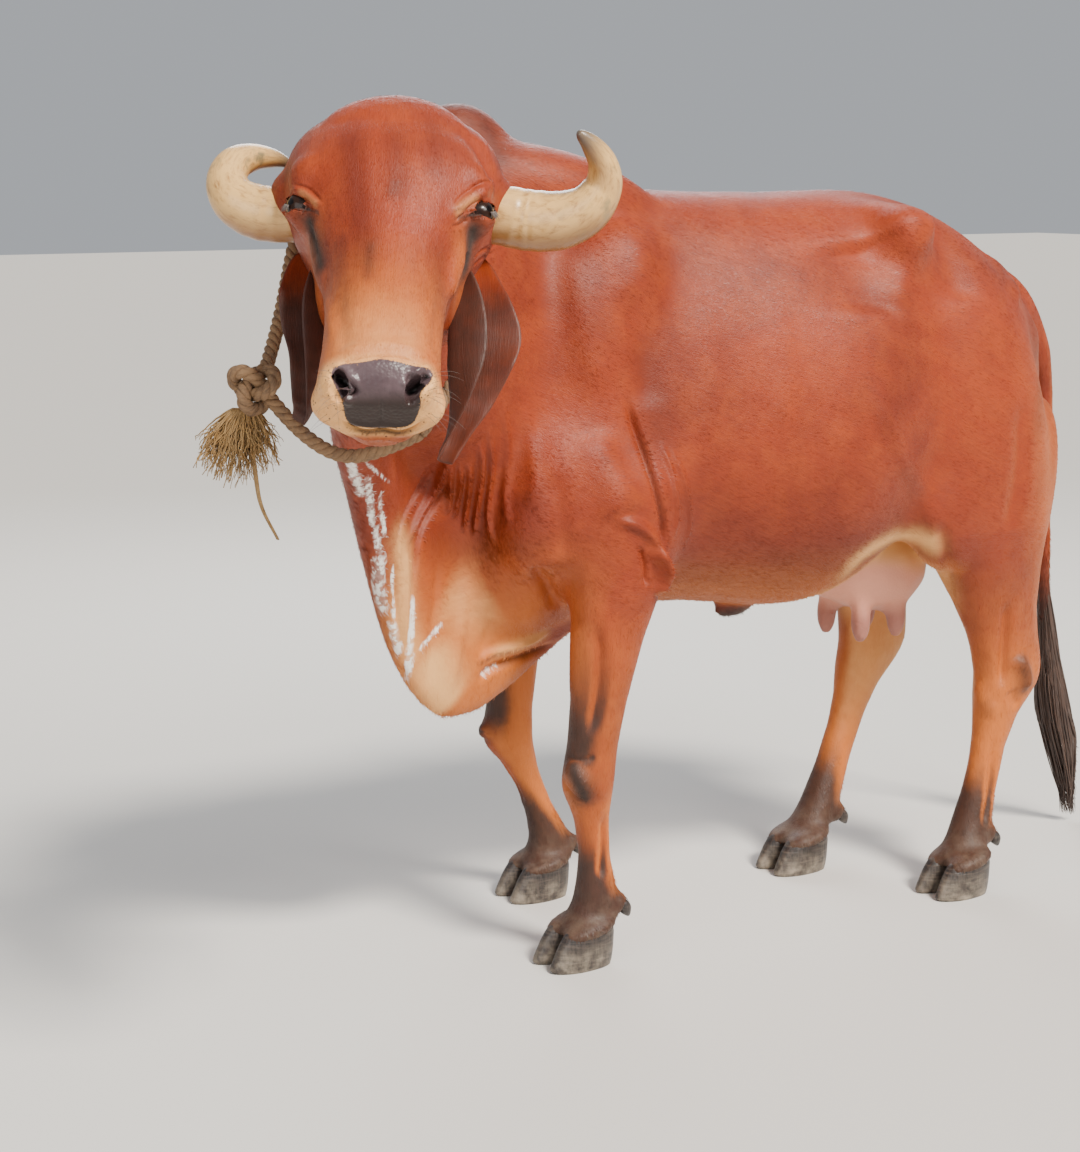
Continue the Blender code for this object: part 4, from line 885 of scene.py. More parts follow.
def markSkin():
    tree = treeOf(skin.data)
    points, normals = pointsOf(skin.data), normalsOf(skin.data)
    design, local = points - shiftRow, headCoords(points)
    x, y, z = design.T
    headShare = smooth(pastSeam(points), -0.03, 0.05)
    bodyShare = 1 - headShare
    side = np.where(x > -0.02, 1.0, -1.0)
    isHind = smooth(y, 0.10, 0.20)
    isFore = (1 - isHind) * smooth(y, -0.47, -0.43)
    leg = (1 - smooth(z, 0.55, 0.68)) * bodyShare * np.maximum(isHind, isFore)
    leg *= 1 - smooth(-np.abs(x - 0.03), -0.05, -0.02) * smooth(z, 0.43, 0.45)
    inward = smooth(-normals[:, 0] * side, 0.15, 0.75)
    rearward = smooth(normals[:, 1], -0.1, 0.7)

    dewlap = (1 - smooth(y, -0.45, -0.36)) * (1 - smooth(z, 0.50, 0.78)) * bodyShare
    cheek = smooth(np.abs(local[:, 0]), 0.075, 0.10) * smooth(local[:, 1], 0.0, 0.06)
    tan = strongest(
        leg * (0.25 + 0.55 * inward) * smooth(0.7 - z, 0.0, 0.25),
        leg * isHind * (1 - smooth(z, 0.30, 0.60)) * 0.75,
        leg * isFore * (1 - smooth(z, 0.26, 0.36)) * (0.35 + 0.45 * rearward),
        0.50 * rearward * smooth(y, 0.35, 0.62) * (1 - smooth(z, 0.75, 1.10)),
        0.65 * smooth(-normals[:, 2], 0.4, 0.95) * (1 - smooth(z, 0.62, 0.75)) * bodyShare,
        dewlap * 0.80,
        0.55 * headShare * smooth(local[:, 1], 0.06, 0.26),
        0.35 * headShare * cheek,
    )

    seen = seenAt(points)
    ring = smooth(local[:, 1] - 0.4 * np.clip(-local[:, 2] - 0.02, 0, 1), 0.275, 0.318) * headShare
    chin = smooth(seen[:, 1], 432, 439) * smooth(local[:, 1], 0.20, 0.26) * headShare
    bridge = smooth(local[:, 1], 0.16, 0.30) * (1 - smooth(np.abs(local[:, 0]), 0.03, 0.07))
    cream = strongest(
        markWeights(tree, creamMarks, points, normals),
        0.9 * ballShare(design, *softBalls["bagCream"]),
        leg * isHind * inward * 0.55 * smooth(z, 0.2, 0.4),
        0.88 * ring,
        0.30 * headShare * bridge,
    )
    cream = cream * (1 - 0.97 * chin)
    tan = tan * (1 - 0.6 * chin)
    # the deep mask holds deeper red marks on the head and painted shade on the body
    deep = markWeights(tree, deepRedAndShadeMarks, points, normals)
    # painted shade: the coat turns deeper red low on the barrel, towards the belly
    lowerBarrelShade = smooth(y, -0.30, -0.15) * (1 - smooth(y, 0.30, 0.55)) * bodyShare
    deep = np.maximum(deep, 0.55 * lowerBarrelShade * (1 - smooth(z, 0.62, 0.95)))

    pink = ballShare(design, *softBalls["bagPink"])
    white = markWeights(tree, whiteMarks, points, normals)

    ahead = smooth(-normals[:, 1], -0.5, 0.5)
    fetlock = 1 - smooth(z - 0.080 * ahead, 0.090, 0.170)
    knee = isFore * smooth(z, 0.30, 0.36) * (1 - smooth(z, 0.41, 0.56)) * bodyShare
    tailEnd = smooth(y, 0.70, 0.74) * (1 - smooth(z, 0.46, 0.62))
    dark = strongest(
        markWeights(tree, darkMarks, points, normals),
        0.95 * fetlock * bodyShare,
        0.95 * knee * smooth(-normals[:, 1], 0.05, 0.70),
        0.45 * ballShare(design, *softBalls["humpDark"]),
        0.95 * ballShare(design, *softBalls["navelDark"]) * (1 - smooth(z, 0.53, 0.56)),
        0.9 * tailEnd,
    )
    for eyeSide in (-1, 1):
        ratio, far, _, _ = lidRatio(points, eyeSide)
        close = far < 0.05
        dark = np.where(close, np.maximum(dark, 0.97 * (1 - smooth(ratio, 1.20, 1.75))), dark)
    muzzle = (local[:, 1] > 0.285) & (local[:, 2] > -0.065)
    pad = insideOutline(seen, padOutline, 2.0) * muzzle
    # painted shade: the nostril openings are made near-black
    nostrilShade = markWeights(tree, nostrilMarks, points, normals) * headShare
    pad = np.maximum(pad, smooth(nostrilShade, 0.35, 0.6))

    masks = {
        "tan": tan, "cream": cream, "white": white, "dark": dark, "pink": pink, "pad": pad, "nostrilShade": nostrilShade,
        # painted shade: the lower part of the nose pad is made darker
        "deep": deep, "dots": ring * (1 - pad), "padLowerShade": smooth(seen[:, 1], 388, 406),
    }
    for name, values in masks.items():
        setMask(skin.data, name, np.clip(values, 0, 1))

    # the hair lies back on the body, down on the limbs and towards the nose on the head
    back = unit(backWay)
    bodyLie = np.stack([x, design @ unit(np.cross(back, (1, 0, 0))), design @ back], axis=1)
    limbLie = np.stack([x, y, -z], axis=1)
    headLie = local[:, (0, 2, 1)]
    limb = np.maximum(leg, np.maximum(dewlap, smooth(y, 0.69, 0.73)))[:, None]
    lie = bodyLie * (1 - limb) + limbLie * limb
    lie = lie * (1 - headShare[:, None]) + headLie * headShare[:, None]
    setLie(skin.data, lie)
    return masks, limb[:, 0], headShare


skinMasks, limbShare, headShare = markSkin()
print("skin marked")


# shader helpers and shared groups
def addNode(tree, kind, inputs=None, **settings):
    made = tree.nodes.new(kind)
    for key, value in settings.items():
        setattr(made, key, value)
    for key, value in (inputs or {}).items():
        if isinstance(value, bpy.types.NodeSocket):
            tree.links.new(value, made.inputs[key])
        else:
            made.inputs[key].default_value = value
    return made


def blend(tree, share, first, second):
    inputs = {0: share, 6: first, 7: second}
    return addNode(tree, "ShaderNodeMix", inputs, data_type="RGBA", clamp_factor=True).outputs[2]


def maths(tree, kind, first, second):
    return addNode(tree, "ShaderNodeMath", {0: first, 1: second}, operation=kind).outputs[0]


def times(tree, first, second):
    return maths(tree, "MULTIPLY", first, second)


def plus(tree, first, second):
    return maths(tree, "ADD", first, second)


def minus(tree, first, second):
    return maths(tree, "SUBTRACT", first, second)


def ranged(tree, value, low, high):  # 0 at low and 1 at high
    made = addNode(tree, "ShaderNodeMapRange", {0: value, 1: low, 2: high})
    made.interpolation_type = "SMOOTHSTEP"
    return made.outputs[0]


def vectorMaths(tree, kind, first, second):
    return addNode(tree, "ShaderNodeVectorMath", {0: first, 1: second}, operation=kind).outputs[0]


def noise(tree, vector, scale, detail=3.0, rough=0.5, distort=0.0):
    inputs = {"Vector": vector, "Scale": scale, "Detail": detail, "Roughness": rough, "Distortion": distort}
    return addNode(tree, "ShaderNodeTexNoise", inputs).outputs["Fac"]


def newGroup(name, ins, outs):
    tree = bpy.data.node_groups.new(name, "ShaderNodeTree")
    kinds = {"value": "NodeSocketFloat", "colour": "NodeSocketColor", "vector": "NodeSocketVector"}
    for label, kind in ins:
        tree.interface.new_socket(label, in_out="INPUT", socket_type=kinds[kind])
    for label, kind in outs:
        tree.interface.new_socket(label, in_out="OUTPUT", socket_type=kinds[kind])
    return tree, tree.nodes.new("NodeGroupInput").outputs, tree.nodes.new("NodeGroupOutput").inputs


def makeHairGroup():  # streaks along the hair's lie, broken by soft mottling
    tree, ins, outs = newGroup(
        "hairStreaks",
        [("Lie", "vector"), ("Fineness", "value"), ("Length", "value")],
        [("Height", "value"), ("Tone", "value")],
    )
    stretch = addNode(tree, "ShaderNodeCombineXYZ", {"X": 1.0, "Y": 1.0, "Z": ins["Length"]})
    lie = vectorMaths(tree, "MULTIPLY", ins["Lie"], stretch.outputs[0])
    fine = noise(tree, lie, ins["Fineness"], 2.0, 0.6, 0.4)
    coarse = noise(tree, lie, times(tree, ins["Fineness"], 0.22), 2.0, 0.5, 0.6)
    height = plus(tree, times(tree, fine, 0.7), times(tree, coarse, 0.5))
    tree.links.new(height, outs["Height"])
    tree.links.new(ranged(tree, height, 0.35, 0.85), outs["Tone"])
    return tree


def makeMottleGroup():  # soft patches of light and dark
    tree, ins, outs = newGroup(
        "mottle",
        [("Vector", "vector"), ("Scale", "value"), ("Low", "value"), ("High", "value")],
        [("Mask", "value")],
    )
    field = noise(tree, ins["Vector"], ins["Scale"], 4.0, 0.55, 0.2)
    tree.links.new(ranged(tree, field, ins["Low"], ins["High"]), outs["Mask"])
    return tree


def makeWrinkleGroup():  # fine crossing creases of bare skin
    tree, ins, outs = newGroup(
        "wrinkles", [("Vector", "vector"), ("Scale", "value")], [("Height", "value"), ("Lines", "value")]
    )
    bent = addNode(tree, "ShaderNodeTexNoise", {"Vector": ins["Vector"], "Scale": 60.0, "Detail": 2.0})
    small = vectorMaths(tree, "MULTIPLY", bent.outputs["Color"], (0.004, 0.004, 0.004))
    moved = vectorMaths(tree, "ADD", ins["Vector"], small)
    cells = addNode(tree, "ShaderNodeTexVoronoi", {"Vector": moved, "Scale": ins["Scale"]}, feature="F1")
    height = minus(tree, 1.0, cells.outputs["Distance"])
    tree.links.new(height, outs["Height"])
    tree.links.new(ranged(tree, cells.outputs["Distance"], 0.35, 0.8), outs["Lines"])
    return tree


def makeDustGroup():  # dry dust that thins out upwards from the floor
    tree, ins, outs = newGroup(
        "dust", [("Vector", "vector"), ("Reach", "value"), ("Amount", "value")], [("Mask", "value")]
    )
    height = addNode(tree, "ShaderNodeSeparateXYZ", {0: ins["Vector"]}).outputs["Z"]
    share = minus(tree, 1.0, maths(tree, "DIVIDE", height, ins["Reach"]))
    patch = ranged(tree, noise(tree, ins["Vector"], 45.0, 5.0, 0.6), 0.30, 0.80)
    mask = times(tree, times(tree, share, patch), ins["Amount"])
    made = addNode(tree, "ShaderNodeClamp", {0: mask})
    tree.links.new(made.outputs[0], outs["Mask"])
    return tree


hairGroup = makeHairGroup()
mottleGroup = makeMottleGroup()
wrinkleGroup = makeWrinkleGroup()
dustGroup = makeDustGroup()


def useGroup(tree, group, inputs):
    return addNode(tree, "ShaderNodeGroup", inputs, node_tree=group).outputs


def attribute(tree, name, output="Fac"):
    return addNode(tree, "ShaderNodeAttribute", attribute_name=name).outputs[output]


def addBump(tree, shader, height, strength, distance):
    bump = addNode(tree, "ShaderNodeBump", {"Strength": strength, "Distance": distance, "Height": height})
    tree.links.new(bump.outputs[0], shader.inputs["Normal"])


def newMaterial(name):
    made = bpy.data.materials.new(name)
    made.use_nodes = True
    tree = made.node_tree
    return made, tree, tree.nodes["Principled BSDF"]


coatLook = {
    "red": (0.275, 0.032, 0.004, 1),
    # deep red: the random mottling, and also the painted shade of the deep mask
    "deep": (0.110, 0.011, 0.002, 1),
    "bright": (0.420, 0.075, 0.010, 1),
    "tan": (0.560, 0.155, 0.022, 1),
    "cream": (0.760, 0.400, 0.140, 1),
    "white": (0.880, 0.840, 0.780, 1),
    "dark": (0.028, 0.014, 0.010, 1),
    "pink": (0.620, 0.270, 0.180, 1),
    "teat": (0.330, 0.130, 0.095, 1),
    "pad": (0.060, 0.037, 0.042, 1),
    "padPale": (0.120, 0.080, 0.088, 1),
    # painted shade colour for the lower part of the nose pad
    "padLowerShade": (0.020, 0.009, 0.007, 1),
    # painted shade inside the nostrils
    "nostrilShade": (0.004, 0.002, 0.002, 1),
    "dust": (0.560, 0.450, 0.320, 1),
    "roughness": 0.45,
    "specular": 0.34,
    "sheen": 0.05,
    "sheenTint": (1.0, 0.80, 0.74, 1),
    "sheenRoughness": 0.45,
    "hair": {"Fineness": 640.0, "Length": 0.075},
    "hairDepth": 0.0020,
    "broad": {"Scale": 5.0, "Low": 0.35, "High": 0.7},
    "patch": {"Scale": 22.0, "Low": 0.35, "High": 0.7},
    "spots": {"Scale": 80.0, "Low": 0.50, "High": 0.58},
    "wrinkles": {"Scale": 210.0},
    "dusty": {"Reach": 0.14, "Amount": 0.22},
    "deepShare": 0.60,
    "brightShare": 0.24,
    "toneShare": 0.34,
    "torn": {"deep": 0.12, "tan": 0.35, "cream": 0.35, "dark": 0.5},
    "upright": (1.0, 1.0, 0.16),
    "ragged": 1.5,
    "whiteRange": (0.98, 1.70),
    "spotShare": 0.75,
    "teatRange": (0.545, 0.500),
    "dotRange": (0.10, 0.17),
}


def makeCoatMaterial(name, streaks):
    made, tree, shader = newMaterial(name)
    place = addNode(tree, "ShaderNodeTexCoord").outputs["Object"]
    lie = attribute(tree, "lie", "Vector")
    hair = useGroup(tree, hairGroup, {"Lie": lie, **coatLook["hair"]})
    broad = useGroup(tree, mottleGroup, {"Vector": place, **coatLook["broad"]})["Mask"]
    patch = useGroup(tree, mottleGroup, {"Vector": place, **coatLook["patch"]})["Mask"]
    edge = noise(tree, lie, 60.0, 4.0, 0.6)
    base = blend(tree, times(tree, broad, coatLook["deepShare"]), coatLook["red"], coatLook["deep"])
    base = blend(tree, times(tree, patch, coatLook["brightShare"]), base, coatLook["bright"])
    base = blend(tree, times(tree, hair["Tone"], coatLook["toneShare"]), base, coatLook["deep"])

    def torn(base, mask):  # lays a marking over the base, its soft edge broken into tufts
        share = attribute(tree, mask)
        middle = times(tree, share, minus(tree, 1.0, share))
        middle = times(tree, middle, 4 * coatLook["torn"][mask])
        share = plus(tree, share, times(tree, minus(tree, edge, 0.5), middle))
        return blend(tree, share, base, coatLook[mask])

    # the deep mask lays painted shade on the belly, armpits, shoulders and lower barrel
    for mask in ("deep", "tan", "cream"):
        base = torn(base, mask)
    spots = useGroup(tree, mottleGroup, {"Vector": place, **coatLook["spots"]})["Mask"]
    upright = addNode(tree, "ShaderNodeMapping", {"Vector": place, "Scale": coatLook["upright"]}).outputs[0]
    ragged = noise(tree, upright, 125.0, 3.0, 0.60, 0.3)
    whites = plus(tree, attribute(tree, "white"), times(tree, ragged, coatLook["ragged"]))
    whites = times(tree, whites, ranged(tree, attribute(tree, "white"), 0.02, 0.35))
    spared = minus(tree, 1.0, times(tree, spots, coatLook["spotShare"]))
    whites = times(tree, ranged(tree, whites, *coatLook["whiteRange"]), spared)
    base = blend(tree, whites, base, coatLook["white"])
    low = addNode(tree, "ShaderNodeSeparateXYZ", {0: place}).outputs["Z"]
    bareTone = blend(tree, ranged(tree, low, *coatLook["teatRange"]), coatLook["pink"], coatLook["teat"])
    base = blend(tree, attribute(tree, "pink"), base, bareTone)
    base = torn(base, "dark")
    cells = addNode(tree, "ShaderNodeTexVoronoi", {"Vector": place, "Scale": 120.0}, feature="F1")
    dots = minus(tree, 1.0, ranged(tree, cells.outputs["Distance"], *coatLook["dotRange"]))
    base = blend(tree, times(tree, dots, attribute(tree, "dots")), base, coatLook["dark"])
    pores = noise(tree, place, 420.0, 2.0, 0.5)
    pad = attribute(tree, "pad")
    padMask = ranged(tree, plus(tree, pad, times(tree, pores, 0.9)), 0.75, 1.15)
    padMask = times(tree, padMask, ranged(tree, pad, 0.0, 0.3))
    skinLines = useGroup(tree, wrinkleGroup, {"Vector": place, **coatLook["wrinkles"]})
    padTone = blend(tree, times(tree, patch, 0.7), coatLook["pad"], coatLook["padPale"])
    # painted shade: the lower part of the nose pad darker
    padTone = blend(tree, attribute(tree, "padLowerShade"), padTone, coatLook["padLowerShade"])
    base = blend(tree, padMask, base, padTone)
    # painted shade: near-black inside the nostrils
    base = blend(tree, ranged(tree, attribute(tree, "nostrilShade"), 0.35, 0.95), base, coatLook["nostrilShade"])
    dusty = useGroup(tree, dustGroup, {"Vector": place, **coatLook["dusty"]})["Mask"]
    base = blend(tree, dusty, base, coatLook["dust"])
    tree.links.new(base, shader.inputs["Base Color"])
    bare = maths(tree, "MAXIMUM", padMask, attribute(tree, "pink"))
    rough = plus(tree, times(tree, hair["Tone"], 0.12), coatLook["roughness"])
    rough = plus(tree, rough, times(tree, padMask, -0.16))
    rough = plus(tree, rough, times(tree, dusty, 0.35))
    tree.links.new(rough, shader.inputs["Roughness"])
    furBump = times(tree, hair["Height"], minus(tree, 1.0, bare))
    skinBump = times(tree, skinLines["Height"], times(tree, bare, 0.4))
    height = plus(tree, furBump, skinBump)
    addBump(tree, shader, height, streaks, coatLook["hairDepth"])
    shader.inputs["Specular IOR Level"].default_value = coatLook["specular"]
    shader.inputs["Sheen Weight"].default_value = coatLook["sheen"]
    shader.inputs["Sheen Roughness"].default_value = coatLook["sheenRoughness"]
    shader.inputs["Sheen Tint"].default_value = coatLook["sheenTint"]
    return made


coatMaterial = makeCoatMaterial("coat", 0.55)
skin.data.materials.clear()
skin.data.materials.append(coatMaterial)
print("coat material ready")

# ears: a drooping blade whose front edge is turned over its outer face, red outside and dark inside
# each row: across, along and out on the head, half its width, how far it is cupped, how far its edge turns
earLook = {
    "leftRows": (
        (0.058, -0.034, -0.118, 0.022, 60, 50),
        (0.080, -0.020, -0.125, 0.026, 60, 50),
        (0.094, -0.004, -0.124, 0.040, 60, 90),
        (0.092, 0.040, -0.124, 0.062, 40, 135),
        (0.090, 0.092, -0.134, 0.078, 34, 150),
        (0.090, 0.140, -0.152, 0.072, 38, 150),
        (0.092, 0.182, -0.172, 0.045, 30, 135),
        (0.088, 0.216, -0.192, 0.024, 50, 100),
        (0.076, 0.250, -0.210, 0.016, 90, 60),
    ),
    "rightRows": (
        (-0.060, -0.034, -0.118, 0.022, 60, 50),
        (-0.082, -0.020, -0.125, 0.026, 60, 50),
        (-0.097, -0.004, -0.126, 0.038, 60, 90),
        (-0.094, 0.034, -0.132, 0.050, 50, 125),
        (-0.092, 0.074, -0.148, 0.046, 45, 140),
        (-0.092, 0.112, -0.166, 0.036, 45, 140),
        (-0.094, 0.144, -0.186, 0.030, 45, 130),
        (-0.100, 0.170, -0.204, 0.023, 40, 110),
        (-0.111, 0.186, -0.216, 0.013, 30, 60),
    ),
    "turned": 0.25,
    "sharp": 20.0,
    "halfThick": 0.0022,
    "down": 84,
    "over": 44,
}


def makeEar(name, side, rows):
    down, over = earLook["down"], earLook["over"]
    rows = through(rows, down)
    steps = np.linspace(-1.0, 1.0, over)
    middle = (steps[1:] + steps[:-1]) / 2
    foldAt = int(np.argmin(abs(steps + earLook["turned"] * 0.4)))
    fronts, backs, lies = [], [], []
    for k, row in enumerate(rows):
        after, before = rows[min(k + 1, down - 1)], rows[max(k - 1, 0)]
        way = unit(after[:3] - before[:3])
        blade = unit(np.array((side, 0.0, 0.0)) - way * (side * way[0]))
        proud = np.cross(blade, way) * side
        turned = np.radians(row[5]) / (1 + np.exp((middle + earLook["turned"]) * earLook["sharp"]))
        waves = 0.10 * math.sin(k * 0.33) * np.clip(middle, 0, 1)
        heading = turned - np.radians(row[4]) * (middle + 0.2) * 0.5 + waves
        step = (steps[1] - steps[0]) * row[3]
        legs = np.stack([np.cos(heading), -np.sin(heading)], axis=1) * step
        spots = np.vstack([[0, 0], np.cumsum(legs, axis=0)])
        spots = spots - spots[foldAt]
        ahead = np.gradient(spots, axis=0)
        normal = np.stack([-ahead[:, 1], ahead[:, 0]], axis=1) / np.linalg.norm(ahead, axis=1)[:, None]
        rim = earLook["halfThick"] * np.clip(np.sqrt(1 - np.abs(steps) ** 6) + 0.12, 0.2, 1)
        rim = rim * (1 + 0.12 * math.sin(k * 0.9)) * (0.25 + 0.75 * smooth(down - 1 - k, 0.0, 3.0))
        for store, sign in ((fronts, 1), (backs, -1)):
            flat = spots + normal * (rim * sign)[:, None]
            store.append(row[:3] + flat[:, :1] * blade + flat[:, 1:] * proud)
        lies.append(steps * row[3])
    verts, lie, inner = [], [], []
    for store, isInner in ((fronts, 0.0), (backs, 1.0)):
        for k, line in enumerate(store):
            verts.extend(line)
            lie.extend([(across, isInner * 0.3, k * 0.004) for across in lies[k]])
            inner.extend([isInner] * over)
    count = down * over
    faces = []
    for base, flip in ((0, side > 0), (count, side < 0)):
        for k in range(down - 1):
            for j in range(over - 1):
                a = base + k * over + j
                quad = (a, a + 1, a + over + 1, a + over)
                faces.append(quad if flip else quad[::-1])
    edge = [(k * over, (k + 1) * over) for k in range(down - 1)]
    edge += [((down - 1) * over + j, (down - 1) * over + j + 1) for j in range(over - 1)]
    edge += [(k * over + over - 1, (k - 1) * over + over - 1) for k in range(down - 1, 0, -1)]
    edge += [(j, j - 1) for j in range(over - 1, 0, -1)]
    for a, b in edge:
        quad = (a, b, b + count, a + count)
        faces.append(quad if side < 0 else quad[::-1])
    verts = np.array(verts) @ headAxes.T + headPlace
    mesh = meshFrom(name, verts, faces)
    finishNormals(mesh)
    inner = np.array(inner)
    downShare = np.tile(np.repeat(np.linspace(0, 1, down), over), 2)
    rimDark = smooth(np.tile(np.abs(steps), 2 * down), 0.90, 1.0) * 0.6
    # painted shade: the ear darkens further down its length, carried in the dark mask with the dark inner
    # face and rim
    shade = smooth(downShare, 0.22, 0.45) * (0.72 if side > 0 else 0.88)
    setMask(mesh, "tan", inner * 0.3 * (1 - smooth(downShare, 0.1, 0.3)))
    setMask(mesh, "dark", np.maximum(inner * 0.86, np.maximum(rimDark, np.maximum(shade, 0.10))))
    setLie(mesh, lie)
    mesh.materials.append(earMaterial)
    return newObject(name, mesh)


earMaterial = makeCoatMaterial("earCoat", 0.35)
leftEar = makeEar("leftEar", 1, earLook["leftRows"])
rightEar = makeEar("rightEar", -1, earLook["rightRows"])
for item, node in ((leftEar, "left_ear"), (rightEar, "right_ear")):
    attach(item, "root")
    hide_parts(node)
print("ears ready")


# round bars along a route
def sweep(route, radii, sides, flat=1.0):
    route = np.asarray(route, float)
    ahead = np.gradient(route, axis=0)
    ahead /= np.linalg.norm(ahead, axis=1)[:, None] + 1e-12
    side = np.cross(ahead[0], (0, 0, 1))
    side = side / (np.linalg.norm(side) + 1e-12)
    angles = np.arange(sides) * math.tau / sides
    rings = []
    for k in range(len(route)):
        side = side - ahead[k] * (side @ ahead[k])
        side = side / (np.linalg.norm(side) + 1e-12)
        up = np.cross(side, ahead[k])
        ring = np.cos(angles)[:, None] * side * flat + np.sin(angles)[:, None] * up
        rings.append(route[k] + radii[k] * ring)
    return np.array(rings)


def ringFaces(rows, sides, start=0):
    faces = []
    for k in range(rows - 1):
        for j in range(sides):
            a = start + k * sides + j
            b = start + k * sides + (j + 1) % sides
            faces.append((a, b, b + sides, a + sides))
    faces.append(tuple(range(start + sides - 1, start - 1, -1)))
    faces.append(tuple(range(start + (rows - 1) * sides, start + rows * sides)))
    return faces


# horns; each row: across, along and out on the head, and the radius
hornLook = {
    "left": (
        (0.062, -0.076, -0.062, 0.034), (0.095, -0.070, -0.065, 0.037), (0.144, -0.067, -0.068, 0.040),
        (0.185, -0.062, -0.071, 0.041), (0.225, -0.055, -0.062, 0.039), (0.260, -0.058, -0.042, 0.033),
        (0.279, -0.074, -0.016, 0.026), (0.277, -0.084, 0.014, 0.020), (0.261, -0.088, 0.042, 0.014),
        (0.242, -0.088, 0.064, 0.006),
    ),
    "right": (
        (-0.062, -0.072, -0.068, 0.033), (-0.095, -0.066, -0.074, 0.035), (-0.140, -0.066, -0.080, 0.037),
        (-0.180, -0.069, -0.080, 0.037), (-0.212, -0.084, -0.074, 0.033), (-0.226, -0.112, -0.066, 0.028),
        (-0.219, -0.143, -0.064, 0.024), (-0.198, -0.172, -0.076, 0.019), (-0.172, -0.192, -0.094, 0.013),
        (-0.150, -0.202, -0.112, 0.006),
    ),
    "rows": 150,
    "sides": 40,
    "rings": 0.00035,
    "ivory": (0.660, 0.395, 0.135, 1),
    "amber": (0.230, 0.088, 0.020, 1),
    "grey": (0.060, 0.048, 0.044, 1),
    "olive": (0.230, 0.170, 0.080, 1),
    "roughness": 0.20,
    "coat": 0.25,
    "coatRoughness": 0.22,
    "grain": 2.5,
    "scuffs": {"Scale": 34.0, "Low": 0.55, "High": 0.70},
    "lineDepth": 0.0008,
}


def makeHornMaterial():
    made, tree, shader = newMaterial("horn")
    place = addNode(tree, "ShaderNodeTexCoord").outputs["Object"]
    along = attribute(tree, "along")
    length = times(tree, along, hornLook["grain"])
    grain = addNode(tree, "ShaderNodeCombineXYZ", {"X": attribute(tree, "around"), "Z": length}).outputs[0]
    streak = noise(tree, grain, 7.0, 5.0, 0.65, 0.6)
    base = blend(tree, ranged(tree, streak, 0.42, 0.85), hornLook["ivory"], hornLook["amber"])
    # painted shade: amber on the horn's underside
    undersideShade = ranged(tree, attribute(tree, "undersideShade"), 0.1, 0.9)
    base = blend(tree, times(tree, undersideShade, 0.90), base, hornLook["amber"])
    scuffs = useGroup(tree, mottleGroup, {"Vector": place, **hornLook["scuffs"]})["Mask"]
    base = blend(tree, times(tree, scuffs, ranged(tree, along, 0.35, 0.75)), base, hornLook["olive"])
    base = blend(tree, times(tree, ranged(tree, along, 0.80, 0.98), 0.85), base, hornLook["grey"])
    rootShade = minus(tree, 1.0, ranged(tree, along, 0.06, 0.20))
    base = blend(tree, times(tree, rootShade, 0.5), base, hornLook["amber"])
    tree.links.new(base, shader.inputs["Base Color"])
    rough = plus(tree, times(tree, streak, 0.25), hornLook["roughness"])
    tree.links.new(rough, shader.inputs["Roughness"])
    addBump(tree, shader, noise(tree, grain, 40.0, 3.0, 0.6), 0.25, hornLook["lineDepth"])
    shader.inputs["Coat Weight"].default_value = hornLook["coat"]
    shader.inputs["Coat Roughness"].default_value = hornLook["coatRoughness"]
    return made


hornMaterial = makeHornMaterial()


def makeHorn(name, rows, node):
    count, sides = hornLook["rows"], hornLook["sides"]
    rows = through(rows, count)
    rows[:, 3] = np.maximum(rows[:, 3], 0.003)
    tip = np.arange(count) - (count - 6)
    rows[:, 3] *= np.where(tip > 0, np.sqrt(np.clip(1 - (tip / 6.0) ** 2, 0.03, 1)), 1)
    share = np.linspace(0, 1, count)
    draw = np.random.default_rng(5)
    uneven = np.interp(share * 60, np.arange(62), draw.normal(size=62))
    ripple = np.sin(share * 85 + 2.0 * np.sin(share * 19)) + 0.5 * uneven
    rows[:, 3] += hornLook["rings"] * ripple * (1 - smooth(share, 0.30, 0.60))
    route = rows[:, :3] @ headAxes.T + headPlace
    rings = sweep(route, rows[:, 3], sides)
    points = rings.reshape(-1, 3)
    mesh = meshFrom(name, points, ringFaces(count, sides))
    finishNormals(mesh)
    angles = np.tile(np.arange(sides) / sides, count)
    setMask(mesh, "along", np.repeat(share, sides))
    setMask(mesh, "around", np.abs(angles * 2 - 1) * 2)
    # how far each point lies below the horn's centre line, for the painted shade on the underside
    below = np.repeat(route[:, 2], sides) - points[:, 2]
    setMask(mesh, "undersideShade", np.clip(below / np.repeat(rows[:, 3], sides), 0, 1))
    mesh.materials.append(hornMaterial)
    item = newObject(name, mesh)
    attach(item, "root")
    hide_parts(node)


makeHorn("leftHorn", hornLook["left"], "left_horn")
makeHorn("rightHorn", hornLook["right"], "right_horn")
print("horns ready")

# eyes: a wet dark globe with a brown iris and a level oval pupil
eyeLook = {
    "cornea": 0.0014,
    "iris": 40.0,
    "pupil": (19.0, 11.0),
    "brown": (0.026, 0.010, 0.005, 1),
    "rim": (0.010, 0.005, 0.004, 1),
    "black": (0.002, 0.001, 0.001, 1),
    "white": (0.022, 0.011, 0.009, 1),
    "roughness": 0.22,
    "refraction": 1.28,
    "wet": 0.08,
    "wetRoughness": 0.04,
}


